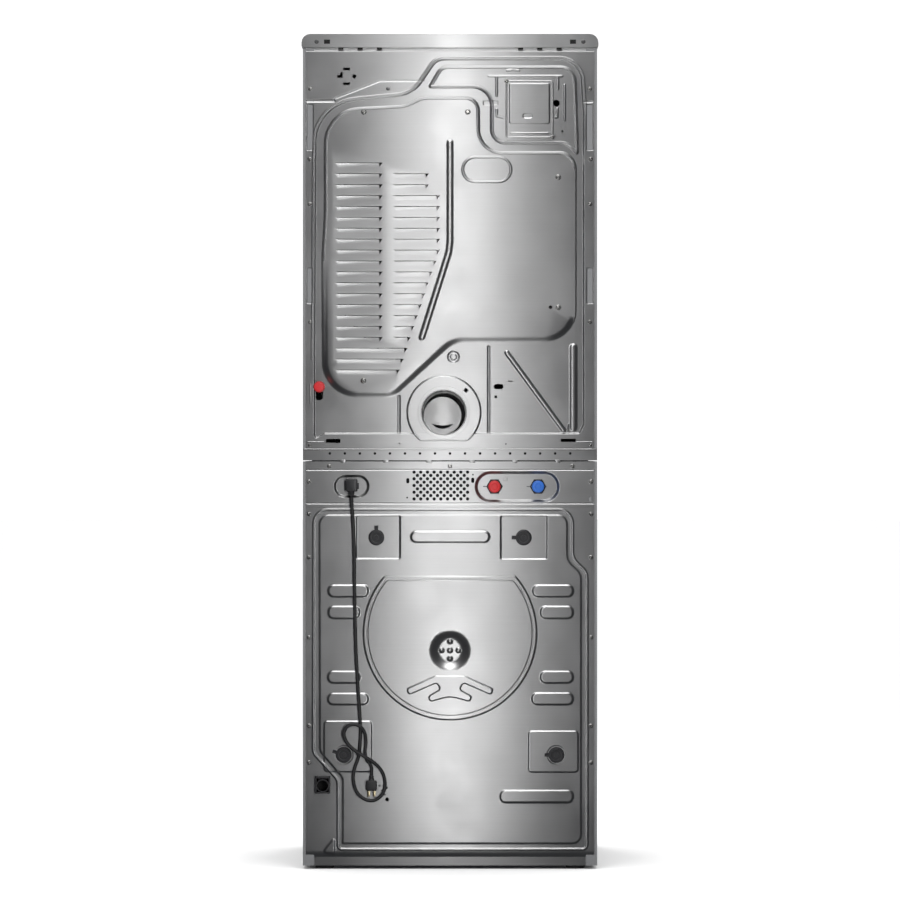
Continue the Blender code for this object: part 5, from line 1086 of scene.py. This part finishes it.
DRYER_AXIS = 1.460
WASHER_GLASS, DRYER_GLASS = 0.155, 0.170
HINGE_X, HINGE_Y = -0.262, -0.360
DOOR_BACK, DOOR_FACE = -0.334, -0.386
door_plastic = moulded("door_plastic", (0.33, 0.335, 0.345), 0.26, grain=1200, depth=0.03, mottle=0.04,
                       coat=0.5)
chrome = sheet_steel("chrome_trim", tone=0.80, roughness=0.09, streak=0.2, along="Y", mottle=0.02)
glass, tree, shader, place = finish("door_glass")
shader.inputs["Transmission Weight"].default_value = 1.0
shader.inputs["IOR"].default_value = 1.46
smear = node(tree, "ShaderNodeTexNoise", Scale=14.0, Detail=4.0)
haze = node(tree, "ShaderNodeMapRange", To_Min=0.005, To_Max=0.045)
shade = shades(tree, (0.62, 0.65, 0.67), (0.74, 0.77, 0.79))
wire(tree, (place, smear, "Vector"), (smear, haze, "Value"), (haze, shader, "Roughness"), (smear, shade, "Fac"),
     (shade, shader, "Base Color"))


def bend(x0, y0, x1, y1, x2, y2, steps=6):
    """Points of a rounded profile corner."""
    ways = [((1 - t) ** 2, 2 * t * (1 - t), t * t) for t in np.linspace(0, 1, steps)]
    return [(a * x0 + b * x1 + c * x2, a * y0 + b * y1 + c * y2) for a, b, c in ways]


def cut_from(piece, tool):
    """Cut the tool's shape out of the piece and drop the tool."""
    cutter = piece.modifiers.new("cut", "BOOLEAN")
    cutter.operation = "DIFFERENCE"
    cutter.solver = "EXACT"
    cutter.object = tool
    settle(piece, 32)
    used_up(tool)


for machine, z, radius in (("washer", WASHER_AXIS, WASHER_GLASS), ("dryer", DRYER_AXIS, DRYER_GLASS)):
    body = machine + "_door"
    inner = radius + 0.0003
    ring_profile = [(0.2485, DOOR_BACK)] + bend(0.2485, DOOR_BACK, 0.250, DOOR_BACK, 0.250, DOOR_BACK - 0.004)
    ring_profile += bend(0.250, DOOR_FACE + 0.016, 0.250, DOOR_FACE + 0.001, 0.230, DOOR_FACE + 0.0004, 10)
    ring_profile += bend(inner + 0.024, DOOR_FACE + 0.0002, inner + 0.010, DOOR_FACE + 0.0004, inner,
                         DOOR_FACE + 0.0140, 8) + [(inner, DOOR_BACK)]
    ring = solid(machine + "_door_ring", *lathe(ring_profile, 128, (0, 0, z)), door_plastic)
    pocket = rounded_block(0.1980, 0.2280, DOOR_FACE - 0.02, DOOR_FACE + 0.030, z - 0.060, z + 0.060, 0.006, 4)
    cut_from(ring, solid("pocket", *pocket, door_plastic))
    place_on(ring, body, "door_ring", machine + "_door_frame")
    knuckle = merge(
        lathe([(0.0045, z - 0.0255), (0.0070, z - 0.0255), (0.0075, z - 0.0250), (0.0075, z + 0.0250),
               (0.0070, z + 0.0255), (0.0045, z + 0.0255)], 32, (HINGE_X, HINGE_Y, 0), "Z"),
        rounded_block(HINGE_X + 0.0060, -0.242, HINGE_Y - 0.004, HINGE_Y + 0.004, z - 0.0252, z + 0.0252,
                      0.001, 2))
    place_on(solid(machine + "_door_knuckle", *knuckle, door_plastic), body, "door_ring")
    trim_profile = [(inner + 0.0235, DOOR_FACE + 0.0010), (inner + 0.0235, DOOR_FACE - 0.0008),
                    (inner + 0.0225, DOOR_FACE - 0.0015), (inner + 0.0200, DOOR_FACE - 0.0015),
                    (inner + 0.0185, DOOR_FACE - 0.0006), (inner + 0.0180, DOOR_FACE + 0.0012)]
    place_on(solid(machine + "_door_trim", *lathe(trim_profile, 128, (0, 0, z)), chrome), body, "door_ring")
    seal_profile = [(inner + 0.0060, DOOR_BACK - 0.001), (inner + 0.0060, DOOR_BACK + 0.0016),
                    (inner + 0.0045, DOOR_BACK + 0.0024), (inner + 0.0025, DOOR_BACK + 0.0024),
                    (inner + 0.0012, DOOR_BACK + 0.0012), (inner + 0.0012, DOOR_BACK - 0.001)]
    seal = solid(machine + "_door_seal", *lathe(seal_profile, 96, (0, 0, z)), foot_rubber)
    place_on(seal, body, "door_ring")

front, knee, wall = -0.3710, -0.3380, 0.004
for machine, shown, z, radius, floor_radius in (
        ("washer", "washer_door_bowl", WASHER_AXIS, WASHER_GLASS, 0.125),
        ("dryer", "dryer_door_window", DRYER_AXIS, DRYER_GLASS, 0.150)):
    floor_y = max(v.co.y for v in nodes[shown].data.vertices)
    outer = ([(0, floor_y - 0.0006)] + bend(floor_radius - 0.030, floor_y - 0.0003, floor_radius, floor_y,
                                            floor_radius + 0.003, floor_y - 0.018, 10)
             + bend(radius - 0.006, knee + 0.008, radius - 0.0002, knee, radius - 0.0002, knee - 0.006, 6)
             + [(radius - 0.0002, front + 0.0008), (radius - 0.0010, front + 0.0002)])
    inward = ([(radius - wall, front + 0.0002), (radius - wall - 0.0002, knee - 0.006)]
              + bend(radius - wall - 0.0004, knee - 0.006, radius - wall - 0.001, knee - 0.002,
                     radius - wall - 0.006, knee + 0.006, 6)
              + bend(floor_radius + 0.003 - wall, floor_y - 0.018 - wall, floor_radius - wall, floor_y - wall,
                     floor_radius - 0.032, floor_y - wall, 10) + [(0, floor_y - wall - 0.0006)])
    pane = solid(machine + "_glass", *lathe(outer + inward, 128, (0, 0, z)), glass)
    place_on(pane, machine + "_door", "door_glass", shown)

# ---------------------------------------------------------------- door gasket
# Grey rubber bellows between the washer's front panel and its tub, folded twice.

gasket_rubber = moulded("gasket_rubber", (0.16, 0.165, 0.17), 0.55, grain=500, depth=0.10)
y0, y1, r = -0.3243, -0.2255, 0.185
fold = [r + 0.0070 + 0.0050 * math.cos(2 * math.pi * t * 2.0) for t in np.linspace(0, 1, 33)]
run = [y0 + (y1 - y0) * t for t in np.linspace(0, 1, 33)]
bellows = bend(r - 0.0110, y0 + 0.004, r - 0.0110, y0, r - 0.004, y0, 5)
bellows += [(f + 0.0002, y) for f, y in zip(fold, run)]
bellows += [(f - 0.0062, y) for f, y in list(zip(fold, run))[::-1]]
gasket = solid("gasket_bellows", *lathe(bellows, 112, (0, 0, WASHER_AXIS)), gasket_rubber)
place_on(gasket, "cabinet", "grey_rubber", "door_gasket")

# ---------------------------------------------------------------- console
# Shared control console of dark moulded plastic: a smoked display strip in the middle, a ring of moulded marks
# round each cycle dial, and a row of small lamps beside each start button.

console_plastic = moulded("console_plastic", (0.020, 0.021, 0.023), 0.30, grain=1300, depth=0.03, coat=0.4)
coat_nodes(console_plastic, "console")
smoked = moulded("smoked_panel", (0.004, 0.004, 0.005), 0.05, depth=0.0, mottle=0.3, coat=1.0)
mark_paint = moulded("mark_paint", (0.62, 0.63, 0.64), 0.5, depth=0.02)
window = rounded_block(-0.110, 0.110, -0.3536, -0.3510, 0.936, 0.989, 0.0012, 3)
place_on(solid("display_window", *window, smoked), "cabinet", "black_plastic")
display_trim = pressing("display_trim", box_outline(-0.114, 0.114, 0.932, 0.993, 0.004),
                        [field(box_outline(-0.1138, 0.1138, 0.9322, 0.9928, 0.004), 0.0010, 0.0004)],
                        [box_outline(-0.1102, 0.1102, 0.9358, 0.9892, 0.002)], 0.3522, chrome)
for v in display_trim.data.vertices:
    v.co.y = -v.co.y
display_trim.data.flip_normals()
place_on(display_trim, "cabinet", "black_plastic")
lamp_profile = [(0, -0.0008), (0.0011, -0.0006), (0.0014, 0.0), (0.0014, 0.0006), (0, 0.0006)]
lamp = solid("lamp", *lathe(lamp_profile, 16), mark_paint)
DIAL_X, DIAL_Z, DIAL_MARKS = 0.235, 0.9625, 16
ticks = []
for x in (-DIAL_X, DIAL_X):
    for i in range(DIAL_MARKS):
        a = 2 * math.pi * i / DIAL_MARKS
        c, s = math.cos(a), math.sin(a)
        long_mark = 0.0012 * (i % 4 == 0)
        verts, faces = rounded_block(-0.0004, 0.0004, -0.3523, -0.3517, 0.0375, 0.0400 + long_mark, 0.0001, 1)
        turned = [Vector((x + v.x * c + v.z * s, v.y, DIAL_Z - v.x * s + v.z * c)) for v in verts]
        ticks.append((turned, faces))
place_on(solid("dial_marks", *merge(*ticks), mark_paint), "cabinet", "black_plastic")
lamp_places = [(x, -0.3524, 0.9465 + 0.008 * i) for x in (-0.133, 0.133) for i in range(5)]
repeated("lamps", lamp_places, lamp, mark_paint, "cabinet", "black_plastic", spin=False)
used_up(lamp)

# ---------------------------------------------------------------- cycle knobs and start buttons
# Turned-look plastic knobs with a fluted skirt and a bright cap with one pointer groove; the start buttons
# beside them are round keys with a bright rim.

knob_plastic = moulded("knob_plastic", (0.045, 0.046, 0.050), 0.33, grain=1200, depth=0.03, coat=0.3)
seat, tip, flutes = -0.3530, -0.4000, 36
skirt_profile = ([(0, tip + 0.0012), (0.0225, tip + 0.0012)]
                 + bend(0.0240, tip + 0.0010, 0.0270, tip + 0.0010, 0.0276, tip + 0.0060, 6)
                 + [(0.0290, seat - 0.0120), (0.0318, seat - 0.0085), (0.0319, seat - 0.0006), (0.0312, seat),
                    (0.0040, seat), (0.0040, -0.3302), (0, -0.3302)])
cap_profile = [(0, tip + 0.0002), (0.0195, tip + 0.0002), (0.0212, tip + 0.0007), (0.0218, tip + 0.0018),
               (0, tip + 0.0018)]
for machine, x in (("washer", -DIAL_X), ("dryer", DIAL_X)):
    verts, faces = lathe(skirt_profile, 144, (0, 0, 0))
    for v in verts:
        far = math.hypot(v.x, v.z)
        if 0.0262 < far < 0.0300 and v.y < seat - 0.0110:
            scale = 1 - 0.018 * (0.5 + 0.5 * math.cos(flutes * math.atan2(v.z, v.x)))
            v.x, v.z = v.x * scale, v.z * scale
    knob = solid(machine + "_knob_skirt", [v + Vector((x, 0, DIAL_Z)) for v in verts], faces, knob_plastic)
    place_on(knob, machine + "_knob_body", "knob_plastic", machine + "_knob")
    face_cap = solid(machine + "_knob_cap", *lathe(cap_profile, 96, (x, 0, DIAL_Z)), chrome)
    groove = rounded_block(x - 0.0009, x + 0.0009, tip - 0.002, tip + 0.0008, DIAL_Z + 0.008, DIAL_Z + 0.0185,
                           0.0003, 2)
    cut_from(face_cap, solid("groove", *groove, chrome))
    place_on(face_cap, machine + "_knob_body", "knob_plastic")
key_profile = [(0, -0.3557), (0.0070, -0.3556), (0.0088, -0.3560), (0.0100, -0.3559), (0.0108, -0.3552),
               (0.0110, -0.3542), (0.0110, -0.3486), (0.0134, -0.3484), (0.0134, -0.3467), (0, -0.3467)]
for machine, x in (("washer", -0.165), ("dryer", 0.165)):
    at, body = (x, 0, DIAL_Z), machine + "_button_body"
    key = solid(machine + "_start_key", *lathe(key_profile, 64, at), knob_plastic)
    place_on(key, body, "knob_plastic", machine + "_start_button")
    sign = merge(lathe([(0.0060, -0.3558), (0.0066, -0.3562), (0.0072, -0.3558)], 48, at),
                 lathe([(0, -0.3560), (0.0026, -0.3560), (0.0026, -0.3554), (0, -0.3554)], 3, at))
    place_on(solid(machine + "_start_mark", *sign, mark_paint), body, "knob_plastic")

# ---------------------------------------------------------------- detergent drawer
# White moulded tray of three compartments behind a silver front with a finger grip along its lower edge.

drawer_white = moulded("drawer_white", (0.66, 0.67, 0.68), 0.38, grain=800, depth=0.05, mottle=0.03)
coat_nodes(drawer_white, "dispenser_drawer", "dispenser_box")
front_skin = rounded_block(-0.3176, -0.1184, -0.3466, -0.3440, 0.8122, 0.8846, 0.0011, 3)
place_on(solid("drawer_front", *front_skin, door_plastic), "drawer", "white_plastic")
ridges = [rounded_block(-0.262 + 0.012 * i, -0.2575 + 0.012 * i, -0.3474, -0.3462, 0.8140, 0.8156, 0.0004, 2)
          for i in range(8)]
place_on(solid("drawer_grip_ridges", *merge(*ridges), door_plastic), "drawer", "white_plastic")

# ---------------------------------------------------------------- drums
# Polished stainless drums with three folded lifters each.  Rows of small near-black discs all round their
# walls, fine in the washer's and coarse in the dryer's, are painted shade in place of holes; each drum turns on
# a steel shaft at its back.

drum_steel = sheet_steel("drum_steel", tone=0.66, roughness=0.22, streak=0.6, along="Y")


def drum_wall(radius, front, rear, mouth, shaft_radius, shaft_end, axis_z, fin_height):
    """Drum shell with rolled lips and a dished back, and its three lifters."""
    wall = 0.0012
    outer = ([(mouth + 0.0015, front)] + bend(radius - 0.010, front, radius, front, radius, front + 0.010, 6)
             + [(radius, rear - 0.008)] + bend(radius, rear - 0.008, radius, rear, radius - 0.008, rear, 6)
             + [(0.060, rear), (shaft_radius + 0.006, rear), (shaft_radius, rear + 0.001),
                (shaft_radius, shaft_end), (0, shaft_end)])
    inner = ([(0, rear - wall - 0.010), (0.050, rear - wall - 0.010), (0.075, rear - wall)]
             + bend(radius - 0.010, rear - wall, radius - wall, rear - wall, radius - wall, rear - 0.010, 6)
             + bend(radius - wall, front + 0.010, radius - wall, front + wall, radius - 0.010, front + wall, 6)
             + [(mouth + 0.0015, front + wall), (mouth, front + wall / 2)])
    profile = [(0, shaft_end)] + outer[::-1][1:] + [(mouth, front + wall / 2)] + inner[::-1][1:]
    parts = [lathe(profile, 160, (0, 0, axis_z))]
    for i in range(3):
        angle = math.pi / 2 + 2 * math.pi * i / 3
        section = [(-0.0060, 0)] + [
            (-0.0040 * math.cos(math.pi * k / 8), fin_height - 0.0045 + 0.0040 * math.sin(math.pi * k / 8))
            for k in range(9)] + [(0.0060, 0)]
        verts, faces = [], []
        spans = [front + 0.060, front + 0.066, rear - 0.066, rear - 0.060]
        for y, share in zip(spans, (0.90, 1.0, 1.0, 0.90)):
            for w, h in section:
                far = radius - wall / 2 - h * share
                verts.append(Vector((math.cos(angle) * far - math.sin(angle) * w, y,
                                     axis_z + math.sin(angle) * far + math.cos(angle) * w)))
        n = len(section)
        for k in range(3):
            faces += [[k * n + j, k * n + (j + 1) % n, (k + 1) * n + (j + 1) % n, (k + 1) * n + j]
                      for j in range(n)]
        faces += [list(range(n)), [3 * n + j for j in range(n)][::-1]]
        parts.append((verts, faces))
    return merge(*parts)


for machine, axis_z, radius, front, rear, mouth, end, fin, rows, around, size in (
        ("washer", WASHER_AXIS, 0.245, -0.205, 0.125, 0.181, 0.217, 0.045, 17, 84, 0.0020),
        ("dryer", DRYER_AXIS, 0.300, -0.268, 0.300, 0.215, 0.360, 0.055, 22, 60, 0.0028)):
    shell = drum_wall(radius, front, rear, mouth, 0.0125, end, axis_z, fin)
    body = machine + "_drum_body"
    place_on(solid(machine + "_drum_shell", *shell, drum_steel), body, "stainless_drum", machine + "_drum")
    inner = radius - 0.0013
    spots = []
    for row in range(rows):
        y = front + 0.030 + (rear - front - 0.060) * row / (rows - 1)
        for i in range(around):
            a = 2 * math.pi * (i + 0.5 * (row % 2)) / around
            near_fin = min(abs((a - math.pi / 2 - 2 * math.pi * k / 3 + math.pi) % (2 * math.pi) - math.pi)
                           for k in range(3))
            if near_fin * radius > 0.011:
                spots.append((inner * math.cos(a), y, axis_z + inner * math.sin(a)))
    # Small near-black discs just inside the wall: painted shade standing in for the holes through it.
    hole = lathe([(0, 0.0), (size, 0.0), (size, 0.0005), (0, 0.0005)], 8)
    drum_hole_shades = []
    for x, y, z in spots:
        out = Vector((x, 0, z - axis_z)).normalized()
        side = out.cross(Vector((0, 1, 0)))
        drum_hole_shades.append(([Vector((x, y, z)) + side * v.x + Vector((0, 1, 0)) * v.z + out * v.y * 0.8
                          for v in hole[0]], hole[1]))
    place_on(solid(machine + "_drum_piercing", *merge(*drum_hole_shades), painted_hole_shade), body, "stainless_drum")

# ---------------------------------------------------------------- lint screen
# White moulded frame with a fine woven screen, which lifts out of the dryer's mouth by its grip.

lint_white = moulded("lint_frame", (0.62, 0.63, 0.64), 0.42, grain=900, depth=0.05, mottle=0.03)
coat_nodes(lint_white, "lint_screen")
mesh_step = 0.0028
threads = [rounded_block(x, x + 0.0004, -0.2952, -0.2946, 1.131, 1.2425, 0.0001, 1)
           for x in (-0.0878 + mesh_step * i for i in range(63))]
threads += [rounded_block(-0.0885, 0.0885, -0.2955, -0.2949, z, z + 0.0004, 0.0001, 1)
            for z in (1.1325 + mesh_step * i for i in range(40))]
thread_nylon = moulded("screen_nylon", (0.20, 0.21, 0.23), 0.5, depth=0.02)
place_on(solid("lint_screen_weave", *merge(*threads), thread_nylon), "lint_screen_body", "lint_mesh")

# ---------------------------------------------------------------- works inside the cabinets
# Cast motors and pulleys, ribbed rubber belts, the washer's moulded tub, the dryer's blower, burner tube and
# bulkhead, and the folded bases.  They are seen only through the openings.

cast_metal = moulded("cast_metal", (0.30, 0.30, 0.31), 0.5, grain=260, depth=0.22, mottle=0.10)
cast_metal.node_tree.nodes["Principled BSDF"].inputs["Metallic"].default_value = 0.85
belt_rubber = moulded("belt_rubber", (0.018, 0.018, 0.019), 0.55, grain=700, depth=0.15)
tub_plastic = moulded("tub_plastic", (0.46, 0.47, 0.48), 0.45, grain=420, depth=0.10, mottle=0.05)
inner_steel = sheet_steel("inner_steel", tone=0.45, roughness=0.38, along="X", mottle=0.09)
coat_nodes(cast_metal, "washer_motor", "washer_motor_pulley", "washer_pulley", "dryer_motor", "inlet_valve")
coat_nodes(belt_rubber, "washer_belt", "drum_belt")
coat_nodes(tub_plastic, "washer_tub", "blower_housing")
coat_nodes(black_plastic, "blower_wheel")
coat_nodes(inner_steel, "burner_housing", "drum_bulkhead", "washer_base", "dryer_base", "gas_pipe")
